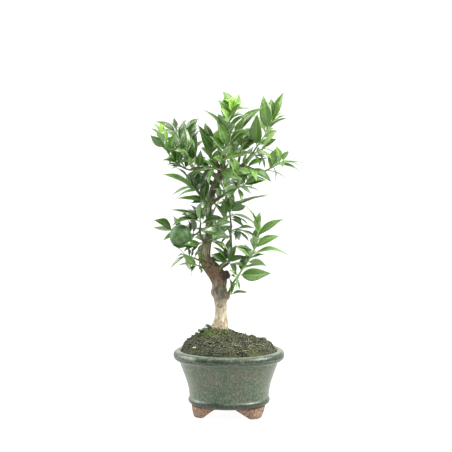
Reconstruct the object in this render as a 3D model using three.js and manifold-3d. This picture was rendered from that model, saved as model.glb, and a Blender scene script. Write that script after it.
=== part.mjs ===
// A myrtle-leaf orange grown as a bonsai, in a round glazed pot on three feet.
// Millimetres, +Z up. The front of the tree looks along -Y, and +X is on its right.
import * as THREE from "three";
import { mergeVertices } from "three/addons/utils/BufferGeometryUtils.js";
import Module from "manifold-3d";

const wasm = await Module();
wasm.setup();

// Driving dimensions
const GAP = 0.3; // between two pieces that touch
const RIM_RADIUS = 73.3;
const RIM_TOP = 86.4;
const LIP_HALF_WIDTH = 6.3;
const LIP_HALF_HEIGHT = 6.8;
const UNDERSIDE = 15.2; // of the pot's base, above the table
const FLOOR = 19; // inside the pot
const BASE_RADIUS = 50.2;
const BAND_RADIUS = 50.9;
const BAND_HEIGHT = 20.6;
const DRAIN_RADIUS = 9;
const ROUND_SIDES = 28;

const FOOT_TURNS = [202.9, 322.7, 82.8]; // degrees, two feet in front and one behind
const FOOT_SIDES = 14;
const FOOT_RADIUS = 43.4; // from the pot's axis to the middle line of the feet
// each level of a foot: height, half its thickness, and the half angle that it spans round the pot
const FOOT_LEVELS = [
  [0, 4.4, 12.5],
  [1.2, 5.6, 16.5],
  [5, 6.1, 24],
  [10, 6.5, 34],
  [14, 6.7, 42],
  [17.5, 6.7, 48],
];

const LIP_TURN_IN = 130; // degrees round the lip's section to where the soil meets it
const SOIL_PEAK = 117; // height of the mound
const MOUND_PLACE = [-19, 0]; // where the mound is highest
const SOIL_CONE = 0.66; // share of the mound's height that falls evenly; the rest falls at the edge
const SOIL_BRIM = 24; // how sharply that rest falls
const SOIL_RINGS = [0.2, 0.4, 0.6, 0.8, 0.93];
const LUMP_HEIGHT = 1.1;

const MESH_SIZE = 26;
const MESH_THICKNESS = 0.8;
const MESH_PITCH = 6;
const MESH_OPENING = 4.2;
const WIRE_RADIUS = 0.7;
const WIRE_REACH = 18;

const STEM_RADIUS = [1.15, 0.7]; // of a green shoot, at its foot and at its end
const STEM_BARE = 0.12; // share of a shoot's length below its first leaf
const LIMB_SIDES = 5;
const TRUNK_SIDES = 10;

const BLADE_STATIONS = [0, 0.3, 0.64]; // shares of a blade's length that have a cross section
const LEAF_WIDTH = 0.175; // half width over length
const BLADE_SKEW = 0.82; // below 1 the widest place lies before the middle
const TIP_NARROWING = 0.35;
const LEAF_THICKNESS = 1; // at the midrib
const STALK_LENGTH = [0.1, 2.2]; // of a leaf: share of its length, and at least this many millimetres
const STALK_WIDTH = 0.7; // half width
const LEAF_FOLD = 0.24; // rise of the edges over half width
const LEAF_ARCH = 0.09; // rise of the middle over length
const LEAF_GROWTH = 0.2; // added all round for the test of clearance
const BLADE_FOOT = 0.07; // share of a leaf that may lie beside the leaves of its own stem
const CLEAR_SHARE = 0.32; // share of a leaf past which it keeps clear of its own stem
const SPARE_LENGTH = [26, 38];
const SPARE_SPREAD = [0.75, 1.25]; // angle off the stem, in radians
const SPARE_FACE = [0.3, 0.95];
const SPARE_LIFT = 0.1;
const SPARE_TRIES = 40;
const BACK_DEPTH = 22; // past this the leaves turn their upper sides to the back
const GOLDEN_TURN = 2.39996;
const SEED = 4127;

const FRUIT_SIDES = 12;
const CALYX_RADIUS = 3.6;

// Trunk and branches: x, y, z and radius along each
const LIMBS = {
  trunk: [
    [-13, 0, 80, 11], [-13, 0, 96, 12.5], [-13, 0, 107, 12.5], [-12, 0, 115, 11.8],
    [-11, 0, 124, 9.5], [-11, 0, 133, 7.9], [-11, 0, 148, 7.7], [-11, 0, 156, 10],
    [-12, 0, 163, 10.6], [-12.5, 0, 170, 8.7], [-12.5, 0, 179, 11],
    [-18, 1, 188, 11.2], [-27, 2, 198, 9.2], [-32, 4, 207, 7.2], [-31, 5, 219, 6.9],
    [-27, 6, 232, 4.9], [-27, 8, 246, 4.2], [-27, 9, 262, 3.9], [-26, 9, 277, 3.9],
    [-23, 8, 290, 4.3], [-19, 5, 303, 5.1], [-13, 2, 312, 5.6], [-9, 1, 322, 4.6], [-8, 1, 333, 3.6],
    [-6, 0, 345, 2.7], [-5, 0, 353, 2.1],
  ],
  stump_right: [[-13, 0, 181, 7], [-7, -2, 184, 6.2], [-1, -5, 187, 5.4]],
  stump_top: [[-10, 1, 319, 3.6], [-15, -4, 328, 3.4], [-18, -8, 335, 3.2]],
  left_top: [
    [-13, 2, 312, 3.6], [-24, -2, 320, 3.1], [-34, -5, 325, 2.7], [-43, -8, 326, 2.2],
    [-51, -10, 323, 1.7],
  ],
  left_back: [[-19, 5, 303, 3.2], [-30, 18, 311, 2.7], [-41, 30, 320, 2.2], [-51, 40, 328, 1.6]],
  right_top: [
    [-10, 1, 320, 3.7], [0, 5, 323, 3.2], [9, 9, 325, 2.9], [18, 11, 329, 2.5], [26, 14, 338, 2.1],
    [32, 15, 346, 1.7],
  ],
  right_low: [[18, 11, 329, 2.1], [28, 8, 325, 1.8], [38, 4, 322, 1.5], [46, 0, 321, 1.3]],
  right_up: [[10, 9, 325, 2.3], [13, 12, 335, 1.9], [15, 16, 344, 1.5]],
  mid_right: [
    [-25, 9, 277, 2.9], [-17, 4, 284, 2.4], [-9, -2, 289, 2.1], [-1, -9, 294, 1.8],
    [8, -15, 298, 1.4],
  ],
  mid_left: [[-26, 9, 274, 1.9], [-33, 5, 284, 1.6], [-39, 0, 293, 1.3]],
  fork_left: [
    [-29, 6, 224, 2.4], [-35, 2, 231, 2], [-38, -1, 239, 1.7], [-38, -4, 246, 1.5],
    [-37, -6, 253, 1.3],
  ],
  low_left: [[-32, 2, 202, 2.6], [-36, -5, 205, 1.9], [-41, -9, 206, 1.4]],
  low_spur: [[-25, 2, 189, 2.4], [-33, -5, 194, 1.5], [-39, -9, 198, 1.2]],
  centre: [
    [-17, 5, 191, 3.3], [-8, 10, 195, 2.6], [0, 14, 200, 2.2], [4, 16, 210, 2], [3, 18, 222, 1.8],
    [2, 18, 235, 1.7], [3, 16, 249, 1.5], [2, 15, 258, 1.3],
  ],
  knob: [[-11, 0, 155, 4.4], [-3, -4, 155, 3.4], [0, -5, 162, 1.9], [3, -6, 170, 1.6], [7, -8, 178, 1.4]],
  back_high: [[-16, 4, 310, 3.2], [-9, 18, 320, 2.5], [-3, 30, 328, 2]],
  back_mid: [[-27, 9, 254, 2.6], [-24, 21, 262, 2.1], [-20, 34, 269, 1.7]],
  back_low: [[-31, 4, 210, 2.9], [-29, 19, 216, 2.2], [-25, 32, 223, 1.7]],
  stalk_left: [[-38, -3, 243, 1.5], [-43, -6, 239, 1.2], [-48, -10, 238, 1.3]],
  stalk_hidden: [[-30, 18, 311, 1.7], [-32, 15, 310, 1.3], [-34, 13, 309, 1.3]],
};

// Fruits: centre and radius, and the end of the stalk that each hangs on
const FRUITS = {
  left: { centre: [-63, -14, 237], radius: 14.3, stalk: [-48, -10, 238] },
  hidden: { centre: [-46, 10, 309], radius: 11.2, stalk: [-34, 13, 309] },
};

// Surface roots: azimuth in degrees, reach from the trunk's axis, radius at the trunk
const ROOTS = [
  [188, 21, 4.8],
  [262, 15, 4],
  [338, 19, 5],
  [85, 18, 4.5],
];

// Leafy shoots: the green stem's route, then the tip of each leaf from the foot of the shoot to its end
// with how far its upper side faces front (1 fully, 0 on edge, below 0 its underside), then how many
// more leaves a rule adds, mostly behind.
const SHOOTS = {
  left_tip: [
    [
      [-51, -10, 323], [-60, -12, 326], [-69, -15, 334], [-78, -16, 343], [-83, -18, 353],
      [-86, -18, 365], [-87, -18, 372],
    ],
    [
      [-80, -31, 330, 0.3], [-88, -2, 335, 0.3], [-57, -30, 362, 0.8], [-78, 8, 331, -0.5],
      [-101, -6, 363, 0.25], [-76, 6, 359, -0.8], [-101, -28, 368, -0.7], [-93, -34, 373, -0.8],
      [-101, -12, 377, -0.4], [-81, -6, 385, 0.5], [-89, -21, 384, -0.9],
    ],
    5,
  ],
  left_high: [
    [
      [-47, 0, 328], [-55, 5, 341], [-62, 8, 354], [-67, 9, 366], [-70, 9, 375],
    ],
    [
      [-69, -18, 357, 0.85], [-57, -15, 367, 0.9], [-85, -2, 363, 0.5], [-59, 25, 364, 0.6],
      [-55, 12, 391, 0.6], [-79, 18, 387, 0.5], [-72, 2, 391, -0.9],
    ],
    6,
  ],
  left_inner: [
    [
      [-42, 8, 329], [-48, 12, 341], [-53, 18, 353], [-58, 20, 365], [-60, 21, 372],
    ],
    [
      [-39, 2, 360, 0.4], [-67, 38, 361, 0.8], [-41, 15, 390, 0.8], [-46, 30, 391, 0.35],
      [-62, 32, 388, 0.6],
    ],
    6,
  ],
  left_front: [
    [
      [-38, -12, 327], [-45, -24, 335], [-53, -32, 343], [-59, -39, 350],
    ],
    [
      [-36, -38, 349, 0.8], [-65, -48, 331, 0.6], [-46, -48, 358, 0.9], [-52, -60, 331, 0.6],
      [-69, -55, 348, 0.9], [-59, -52, 363, 0.9],
    ],
    3,
  ],
  crown_left: [
    [
      [-24, 4, 327], [-24, 7, 338], [-22, 9, 348], [-22, 10, 353],
    ],
    [
      [-43, -15, 340, 0.6], [-8, -12, 349, 0.6], [-41, 10, 382, 0.8], [-15, 25, 382, 0.8],
      [-29, 0, 386, 0.95],
    ],
    5,
  ],
  leader: [
    [
      [-5, 0, 353], [-3, 0, 365], [-2, 0, 375], [1, -1, 388], [3, -2, 400], [5, -4, 408],
    ],
    [
      [-34, 8, 403, 0.3], [23, -20, 375, 0.15], [-15, -15, 396, -0.75], [26, -12, 396, 0.6],
      [-17, 19, 394, -0.4], [-5, 14, 421, 0.95], [18, -18, 395, 0.3], [-1, -39, 384, 0.8],
      [13, 14, 423, 0.9], [27, -12, 402, 0.3], [-2, -11, 415, 0.6], [4, -5, 419, 0.7],
      [10, 0, 416, -0.7],
    ],
    5,
  ],
  leader_right: [
    [
      [-6, 1, 346], [0, 4, 354], [7, 5, 362], [13, 5, 370],
    ],
    [
      [26, -5, 372, 0.6], [22, 8, 394, 0.85], [37, -6, 409, 0.8],
    ],
    3,
  ],
  leader_low: [
    [
      [-8, -2, 328], [-9, -8, 335], [-10, -11, 340],
    ],
    [
      [-21, -30, 339, 0.7], [1, -34, 329, 0.7], [-16, -18, 355, -0.9], [4, -20, 354, -0.8],
    ],
    1,
  ],
  right_inner: [
    [
      [15, 16, 344], [16, 19, 353], [17, 21, 361],
    ],
    [
      [25, -2, 360, 0.7], [9, 8, 371, 0.9], [3, 32, 358, 0.7], [17, 10, 375, 0.85],
    ],
    6,
  ],
  right_top: [
    [
      [32, 15, 346], [37, 14, 354], [43, 12, 362], [48, 11, 369], [50, 10, 377], [54, 9, 383],
      [58, 8, 388], [64, 6, 390],
    ],
    [
      [37, -4, 396, 0.95], [62, 0, 363, 0.8], [21, 22, 372, 0.6], [59, 12, 378, 0.6],
      [33, 35, 391, -0.4], [44, 4, 421, 0.9], [76, 5, 392, 0.3], [56, 19, 417, -0.85],
      [72, 5, 425, 0.8], [74, 2, 394, -0.7], [68, -6, 398, 0.6],
    ],
    5,
  ],
  right_hang: [
    [
      [28, 8, 341], [35, 2, 346], [42, -1, 350], [46, -4, 351],
    ],
    [
      [51, 12, 338, 0.3], [39, -15, 328, 0.6], [46, -5, 325, 0.3], [57, -12, 331, 0.5],
      [60, 5, 344, 0.2],
    ],
    4,
  ],
  right_low: [
    [
      [46, 0, 321], [54, -1, 325], [61, -2, 329], [70, -4, 334],
    ],
    [
      [75, -15, 310, 0.15], [64, 5, 353, 0.9], [61, 8, 310, 0.2], [69, -32, 327, 0.5],
      [60, -14, 356, 0.85], [77, -18, 348, -0.85], [98, -4, 332, 0.5],
    ],
    5,
  ],
  right_under: [
    [
      [20, 5, 327], [25, -6, 326], [29, -14, 324],
    ],
    [
      [21, -18, 305, 0.7], [43, -15, 335, 0.6], [55, -25, 307, 0.8], [35, -35, 309, 0.6],
    ],
    4,
  ],
  mid_front: [
    [
      [8, -15, 298], [13, -20, 301], [18, -24, 303],
    ],
    [
      [-3, -38, 286, 0.8], [16, -30, 281, 0.8], [9, -31, 318, -0.8], [39, -34, 296, 0.2],
      [20, -16, 315, -0.7], [48, -18, 310, 0.9],
    ],
    3,
  ],
  mid_heart: [
    [
      [-6, -8, 291], [-6, -15, 296], [-7, -20, 301],
    ],
    [
      [6, -40, 285, 0.8], [-23, -30, 298, 0.5], [-12, -28, 311, -0.7], [5, -35, 306, 0.8],
    ],
    2,
  ],
  heart_left: [
    [
      [-10, -5, 322], [-15, -14, 325], [-20, -21, 326], [-23, -26, 325],
    ],
    [
      [14, -36, 311, 0.85], [-34, -30, 338, 0.7], [-26, -50, 305, 0.85], [-52, -26, 318, 0.7],
    ],
    3,
  ],
  heart_right: [
    [
      [1, 0, 321], [5, -10, 320], [9, -16, 319],
    ],
    [
      [-1, -28, 303, -0.6], [26, -22, 305, 0.8], [27, -38, 319, 0.6], [16, -12, 297, 0.7],
    ],
    4,
  ],
  left_under: [
    [
      [-39, 0, 293], [-44, -5, 298], [-48, -10, 302], [-50, -15, 307],
    ],
    [
      [-61, -28, 292, 0.5], [-87, -21, 318, 0.5], [-34, -12, 280, 0.5], [-58, -21, 319, -0.6],
    ],
    3,
  ],
  mid_left_hang: [
    [
      [-30, 2, 279], [-33, -5, 282], [-36, -11, 283],
    ],
    [
      [-29, -20, 263, -0.5], [-50, -12, 280, 0.7], [-42, -18, 296, 0.6], [-37, -21, 257, -0.7],
    ],
    3,
  ],
  left_mid: [
    [
      [-37, -6, 253], [-38, -9, 259], [-38, -10, 263],
    ],
    [
      [-73, -35, 252, 0.5], [-28, -28, 270, 0.6], [-62, -22, 266, 0.7], [-78, -10, 271, 0.5],
      [-52, 8, 277, 0.6],
    ],
    4,
  ],
  fruit_behind: [
    [
      [-41, 4, 238], [-52, 12, 238], [-62, 18, 241], [-70, 18, 243], [-75, 16, 242],
    ],
    [
      [-59, 22, 222, 0.6], [-54, 22, 256, 0.6], [-87, 8, 230, 0.5], [-100, 5, 247, -0.6],
      [-99, 2, 257, 0.6],
    ],
    3,
  ],
  low_left_a: [
    [
      [-33, -1, 227], [-36, -6, 228], [-38, -11, 227],
    ],
    [
      [-41, -5, 212, 0.6], [-49, -12, 214, 0.6], [-58, -28, 227, 0.6],
    ],
    1,
  ],
  low_left_b: [
    [
      [-41, -9, 206], [-50, -14, 210], [-58, -19, 214],
    ],
    [
      [-34, -30, 221, 0.5], [-50, -2, 221, 0.5], [-54, -25, 224, 0.6], [-69, -8, 208, 0.4],
      [-77, -16, 227, 0.35],
    ],
    2,
  ],
  low_left_c: [
    [
      [-39, -9, 198], [-42, -12, 199],
    ],
    [
      [-37, -25, 189, 0.5], [-69, -15, 198, 0.12], [-61, -25, 215, 0.75],
    ],
    1,
  ],
  tuft: [
    [
      [2, 15, 258], [1, 10, 265], [1, 6, 271], [3, 4, 276],
    ],
    [
      [16, -12, 252, 0.6], [26, 2, 250, 0.4], [37, 10, 249, 0.2], [21, -18, 277, -0.85],
      [52, -5, 291, 0.3], [-10, -22, 282, 0.8], [0, -28, 287, 0.7], [8, -20, 282, 0.8],
    ],
    4,
  ],
  tuft_left: [
    [
      [3, 15, 253], [-3, 5, 256], [-9, -2, 258],
    ],
    [
      [-19, -10, 246, 0.3], [-32, 5, 263, 0.5], [-36, -15, 253, 0.6],
    ],
    2,
  ],
  centre_left: [
    [
      [2, 18, 234], [-2, 8, 236], [-7, -1, 238],
    ],
    [
      [-10, -18, 226, 0.5], [-21, -18, 236, 0.6], [-12, -2, 250, 0.6], [-35, -28, 245, 0.85],
    ],
    2,
  ],
  centre_right: [
    [
      [2, 18, 240], [5, 14, 243], [9, 10, 245],
    ],
    [
      [9, 2, 230, 0.4], [26, 0, 229, 0.3], [29, 15, 234, 0.2],
    ],
    2,
  ],
  trunk_front: [
    [
      [-26, 0, 231], [-23, -6, 232],
    ],
    [
      [-3, 0, 214, 0.3], [-1, -19, 219, 0.5],
    ],
    1,
  ],
  centre_low: [
    [
      [0, 11, 200], [-1, 2, 202], [-3, -5, 204],
    ],
    [
      [9, -18, 187, -0.6], [-13, -15, 193, 0.5], [-24, -18, 213, 0.85], [25, -12, 209, 0.6],
      [0, -10, 229, 0.6],
    ],
    3,
  ],
  right_long: [
    [
      [7, -8, 178], [14, -10, 188], [24, -11, 203], [33, -12, 217], [35, -12, 228], [37, -10, 238],
      [39, -9, 243],
    ],
    [
      [55, -19, 189, 0.95], [11, -19, 168, -0.7], [50, -2, 197, 0.35], [4, -22, 202, -0.5],
      [24, -25, 209, -0.5], [50, 10, 195, -0.7], [12, -18, 223, 0.8], [77, -19, 213, 0.45],
      [6, 0, 221, 0.5], [67, -11, 237, 0.8], [31, -30, 239, -0.9], [53, 10, 230, 0.3],
      [14, -2, 245, 0.3], [73, -5, 259, 0.7], [41, -15, 269, 0.7], [21, -2, 277, 0.3],
    ],
    6,
  ],
  knob_leaf: [
    [
      [1, -6, 161], [3, -11, 161],
    ],
    [
      [24, -11, 163, 0.5],
    ],
    0,
  ],
  back_high: [
    [
      [-3, 30, 328], [3, 42, 337], [8, 52, 348], [11, 59, 359],
    ],
    [],
    10,
  ],
  back_left: [
    [
      [-51, 40, 328], [-58, 50, 338], [-63, 56, 351], [-66, 59, 361],
    ],
    [],
    10,
  ],
  back_mid: [
    [
      [-20, 34, 269], [-15, 46, 278], [-11, 56, 287], [-7, 62, 296],
    ],
    [],
    9,
  ],
  back_low: [
    [
      [-25, 32, 223], [-22, 45, 232], [-20, 55, 241], [-18, 61, 250],
    ],
    [],
    8,
  ],
  back_side: [
    [
      [-21, 32, 268], [-30, 45, 273], [-38, 54, 275],
    ],
    [],
    7,
  ],
};

// Small helpers

function solidOf(geometry) {
  const bare = geometry.clone();
  bare.deleteAttribute("normal");
  bare.deleteAttribute("uv");
  const merged = mergeVertices(bare, 1e-4);
  const faces = [];
  for (let i = 0; i < merged.index.count; i += 3) {
    const [a, b, c] = [0, 1, 2].map((k) => merged.index.getX(i + k));
    if (a !== b && b !== c && c !== a) faces.push(a, b, c);
  }
  const vertProperties = merged.attributes.position.array;
  return new wasm.Manifold(new wasm.Mesh({ numProp: 3, vertProperties, triVerts: new Uint32Array(faces) }));
}

function geometryOf(solid) {
  const { numProp, vertProperties, triVerts } = solid.getMesh();
  const positions = new Float32Array((vertProperties.length / numProp) * 3);
  for (let i = 0; i * numProp < vertProperties.length; i++)
    positions.set(vertProperties.subarray(i * numProp, i * numProp + 3), i * 3);
  const geometry = new THREE.BufferGeometry();
  geometry.setAttribute("position", new THREE.BufferAttribute(positions, 3));
  geometry.setIndex(new THREE.BufferAttribute(triVerts, 1));
  geometry.computeVertexNormals();
  return geometry;
}

const joined = (solids) => solids.reduce((sum, solid) => sum.add(solid));
const largest = (solid) => solid.decompose().reduce((a, b) => (a.volume() >= b.volume() ? a : b));

// A closed skin through rings of points that run counterclockwise as seen from the last ring.
// The first ring is capped, and the last one is capped or drawn to the point `tip`.
function skin(rings, tip) {
  const sides = rings[0].length;
  const points = rings.flat();
  const last = points.length - sides;
  const faces = [];
  for (let ring = 0; ring < last; ring += sides)
    for (let i = 0; i < sides; i++) {
      const a = ring + i;
      const b = ring + ((i + 1) % sides);
      faces.push(a, b, b + sides, a, b + sides, a + sides);
    }
  for (let i = 1; i < sides - 1; i++) faces.push(0, i + 1, i);
  if (tip) {
    points.push(tip);
    for (let i = 0; i < sides; i++) faces.push(points.length - 1, last + i, last + ((i + 1) % sides));
  } else for (let i = 1; i < sides - 1; i++) faces.push(last, last + i, last + i + 1);
  const geometry = new THREE.BufferGeometry().setFromPoints(points);
  geometry.setIndex(faces);
  return geometry;
}

// A tapered limb along a line of [x, y, z, radius], grown by `growth` all round
function limb(line, sides, growth = 0, relief = () => 1) {
  const centres = line.map(([x, y, z]) => new THREE.Vector3(x, y, z));
  let across = new THREE.Vector3(1, 0.2, 0.1);
  const rings = centres.map((centre, i) => {
    const before = centres[Math.max(i - 1, 0)];
    const after = centres[Math.min(i + 1, centres.length - 1)];
    const heading = after.clone().sub(before).normalize();
    across = across.clone().addScaledVector(heading, -across.dot(heading)).normalize();
    const upright = heading.clone().cross(across);
    const end = i === 0 ? -growth : i === centres.length - 1 ? growth : 0;
    return Array.from({ length: sides }, (_, k) => {
      const turn = (2 * Math.PI * k) / sides;
      const radius = (line[i][3] + growth) * relief(turn, line[i][2]);
      return centre
        .clone()
        .addScaledVector(heading, end)
        .addScaledVector(across, radius * Math.cos(turn))
        .addScaledVector(upright, radius * Math.sin(turn));
    });
  });
  return solidOf(skin(rings));
}

// A repeatable draw between 0 and 1 for each whole number, and one between two values
function draw(number) {
  let t = (number * 0x9e3779b1) >>> 0;
  t = Math.imul(t ^ (t >>> 15), 0x85ebca6b) >>> 0;
  t = Math.imul(t ^ (t >>> 13), 0xc2b2ae35) >>> 0;
  return ((t ^ (t >>> 16)) >>> 0) / 4294967296;
}
const drawBetween = ([low, high], number) => low + (high - low) * draw(number);

// The pot

// A stretch of an ellipse's outline, in degrees, as points from the axis out and up
function arc(r, z, halfR, halfZ, from, to, steps) {
  return Array.from({ length: steps + 1 }, (_, i) => {
    const turn = THREE.MathUtils.degToRad(from + ((to - from) * i) / steps);
    return new THREE.Vector2(r + halfR * Math.cos(turn), z + halfZ * Math.sin(turn));
  });
}

const lipMiddle = new THREE.Vector2(RIM_RADIUS - LIP_HALF_WIDTH, RIM_TOP - LIP_HALF_HEIGHT);
const lipArc = (from, to, steps) =>
  arc(lipMiddle.x, lipMiddle.y, LIP_HALF_WIDTH, LIP_HALF_HEIGHT, from, to, steps);
const insideWall = [
  new THREE.Vector2(60.2, 76),
  new THREE.Vector2(50.4, 43),
  new THREE.Vector2(46, 23),
  new THREE.Vector2(42, FLOOR),
];

function potSolid() {
  const wall = new THREE.SplineCurve([
    new THREE.Vector2(52.4, 25.6),
    new THREE.Vector2(53.3, 34),
    new THREE.Vector2(55.6, 44),
    new THREE.Vector2(60.9, 59),
    new THREE.Vector2(65, 70.4),
  ]);
  const outline = [
    new THREE.Vector2(DRAIN_RADIUS, UNDERSIDE),
    new THREE.Vector2(BASE_RADIUS - 1, UNDERSIDE),
    new THREE.Vector2(BASE_RADIUS, UNDERSIDE + 1),
    ...arc(BAND_RADIUS, BAND_HEIGHT, 3, 4, -65, 62, 3), // the round band above the feet
    ...wall.getPoints(5),
    ...lipArc(-96, LIP_TURN_IN, 8),
    ...insideWall,
    new THREE.Vector2(DRAIN_RADIUS, FLOOR),
    new THREE.Vector2(DRAIN_RADIUS, UNDERSIDE),
  ];
  const body = solidOf(new THREE.LatheGeometry(outline, ROUND_SIDES).rotateX(Math.PI / 2));
  return joined([body, ...FOOT_TURNS.map(footSolid)]);
}

// A foot is an oval bent round the pot, which spreads upwards into the base
function footSolid(degrees) {
  const rings = FOOT_LEVELS.map(([height, thickness, span]) =>
    Array.from({ length: FOOT_SIDES }, (_, k) => {
      const angle = (2 * Math.PI * k) / FOOT_SIDES;
      const turn = THREE.MathUtils.degToRad(degrees + span * Math.sin(angle));
      const radius = FOOT_RADIUS + thickness * Math.cos(angle);
      return new THREE.Vector3(radius * Math.cos(turn), radius * Math.sin(turn), height);
    }),
  );
  return solidOf(skin(rings));
}

// The drainage mesh over the hole, and the wire clip that holds it

function meshSolid() {
  const middle = FLOOR + GAP + MESH_THICKNESS / 2;
  let sheet = solidOf(new THREE.BoxGeometry(MESH_SIZE, MESH_SIZE, MESH_THICKNESS).translate(0, 0, middle));
  for (const column of [-1, 0, 1])
    for (const row of [-1, 0, 1]) {
      const opening = new THREE.BoxGeometry(MESH_OPENING, MESH_OPENING, 2 * MESH_THICKNESS);
      opening.translate(column * MESH_PITCH, row * MESH_PITCH, middle);
      sheet = sheet.subtract(solidOf(opening));
    }
  return sheet;
}

function wireSolid() {
  const low = UNDERSIDE - GAP - WIRE_RADIUS;
  const high = FLOOR + 2 * GAP + MESH_THICKNESS + WIRE_RADIUS;
  const bend = 1.6;
  const half = [
    [WIRE_REACH, low],
    [MESH_PITCH + bend, low],
    [MESH_PITCH + bend * 0.3, low + bend * 0.3],
    [MESH_PITCH, low + bend],
    [MESH_PITCH, high - bend],
    [MESH_PITCH - bend * 0.3, high - bend * 0.3],
    [MESH_PITCH - bend, high],
  ];
  const line = [
    ...half.map(([x, z]) => [-x, 0, z, WIRE_RADIUS]),
    ...half.reverse().map(([x, z]) => [x, 0, z, WIRE_RADIUS]),
  ];
  return limb(line, 6);
}

// The soil: it fills the pot and rises to a lumpy mound round the trunk

const moundPlace = new THREE.Vector2(...MOUND_PLACE);
const soilEdge = lipArc(LIP_TURN_IN, LIP_TURN_IN, 1)[0].add(new THREE.Vector2(-1.2 * GAP, -GAP));

function soilHeight(x, y) {
  const out = new THREE.Vector2(x, y).sub(moundPlace);
  const distance = Math.max(out.length(), 1e-6);
  out.divideScalar(distance);
  const along = moundPlace.dot(out);
  const toEdge = Math.sqrt(along * along + soilEdge.x * soilEdge.x - moundPlace.lengthSq()) - along;
  const share = Math.min(distance / toEdge, 1);
  const fall = SOIL_CONE * (1 - share) + (1 - SOIL_CONE) * (1 - Math.pow(share, SOIL_BRIM));
  const lumps =
    Math.sin(0.31 * x + 0.2 * y) + Math.sin(0.27 * y - 0.17 * x + 2) + Math.sin(0.5 * x - 0.41 * y);
  const fade = Math.min(1, 6 * (1 - share));
  return soilEdge.y + (SOIL_PEAK - soilEdge.y) * fall + LUMP_HEIGHT * lumps * fade;
}

function soilSolid(wood) {
  const recess = MESH_SIZE * 0.5 * Math.SQRT2 + 1;
  const recessTop = FLOOR + MESH_THICKNESS + 2 * WIRE_RADIUS + 4 * GAP;
  const outline = [
    new THREE.Vector2(0, recessTop),
    new THREE.Vector2(recess, recessTop),
    new THREE.Vector2(recess, FLOOR + GAP),
    ...insideWall.map((p) => new THREE.Vector2(p.x - 1.3 * GAP, Math.max(p.y, FLOOR + GAP))).reverse(),
    soilEdge,
    ...SOIL_RINGS.map((share) => new THREE.Vector2(soilEdge.x * share, RIM_TOP)).reverse(),
    new THREE.Vector2(0, RIM_TOP),
  ];
  const geometry = new THREE.LatheGeometry(outline, ROUND_SIDES).rotateX(Math.PI / 2);
  const places = geometry.attributes.position;
  for (let i = 0; i < places.count; i++)
    if (places.getZ(i) >= RIM_TOP - 0.01) places.setZ(i, soilHeight(places.getX(i), places.getY(i)));
  return largest(solidOf(geometry).subtract(wood));
}

// The wood: trunk, branches, cut stumps and surface roots, grown as one piece

// The trunk's shallow flutes, as a factor of its radius
const bark = (turn, height) =>
  1 + 0.05 * Math.sin(3 * turn + 0.11 * height) + 0.03 * Math.sin(5 * turn - 0.07 * height);

function rootLine([degrees, reach, radius]) {
  const turn = THREE.MathUtils.degToRad(degrees);
  const [x, y] = LIMBS.trunk[0];
  return [
    [0, 9, 1],
    [0.45, 0, 0.9],
    [0.8, -8, 0.6],
    [1, -17, 0.35],
  ].map(([share, rise, size]) => [
    x + reach * share * Math.cos(turn),
    y + reach * share * Math.sin(turn),
    SOIL_PEAK + rise - 4,
    radius * size,
  ]);
}

function woodSolid(growth) {
  const { trunk, ...branches } = LIMBS;
  return joined([
    limb(trunk, TRUNK_SIDES, growth, bark),
    ...Object.values(branches).map((line) => limb(line, LIMB_SIDES, growth)),
    ...ROOTS.map((root) => limb(rootLine(root), LIMB_SIDES, growth)),
  ]);
}

// The fruits, each with the calyx that its stalk ends in

function fruitSolid({ centre, radius, stalk }, growth = 0) {
  const middle = new THREE.Vector3(...centre);
  const toStalk = new THREE.Vector3(...stalk).sub(middle);
  const reach = toStalk.length();
  toStalk.normalize();
  const turn = new THREE.Quaternion().setFromUnitVectors(new THREE.Vector3(0, 1, 0), toStalk);
  const flesh = new THREE.SphereGeometry(radius + growth, FRUIT_SIDES, 8);
  flesh.scale(1, 0.96, 1).applyQuaternion(turn).translate(...centre);
  if (growth) return solidOf(flesh);
  const calyx = new THREE.CylinderGeometry(CALYX_RADIUS * 0.7, CALYX_RADIUS, 3, 8);
  calyx.translate(0, reach - 1.5, 0).applyQuaternion(turn).translate(...centre);
  return solidOf(flesh).add(solidOf(calyx));
}

// The leaves

// The bends that may be tried to lay a leaf clear of its neighbours, the smallest first:
// depth of the tip in millimetres, swing across the view and turn about its own length.
const BENDS = [];
for (const depth of [0, 5, -5, 10, -10, 15, -15, 20, -20])
  for (const swing of [0, 0.09, -0.09, 0.18, -0.18])
    for (const roll of [0, 0.3, -0.3])
      BENDS.push({
        depth,
        swing,
        roll,
        cost: Math.abs(depth) + Math.abs(swing) * 70 + Math.abs(roll) * 13,
      });
BENDS.sort((a, b) => a.cost - b.cost);

// The point at a share of a route's length, and the heading there
function along(route, share) {
  const lengths = route.slice(1).map((point, i) => point.distanceTo(route[i]));
  let left = share * lengths.reduce((a, b) => a + b, 0);
  let i = 0;
  while (i < lengths.length - 1 && left > lengths[i]) left -= lengths[i++];
  const heading = route[i + 1].clone().sub(route[i]).normalize();
  return { place: route[i].clone().addScaledVector(heading, left), heading };
}

// A listed leaf after one of the bends
function listedLeaf(route, [x, y, z, face], share, bend) {
  const base = along(route, share).place;
  const reach = new THREE.Vector3(x, y + bend.depth, z).sub(base);
  const [c, s] = [Math.cos(bend.swing), Math.sin(bend.swing)];
  const tip = new THREE.Vector3(reach.x * c - reach.z * s, reach.y, reach.x * s + reach.z * c).add(base);
  return { base, tip, face: THREE.MathUtils.clamp(face + bend.roll, -1, 1) };
}

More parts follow.
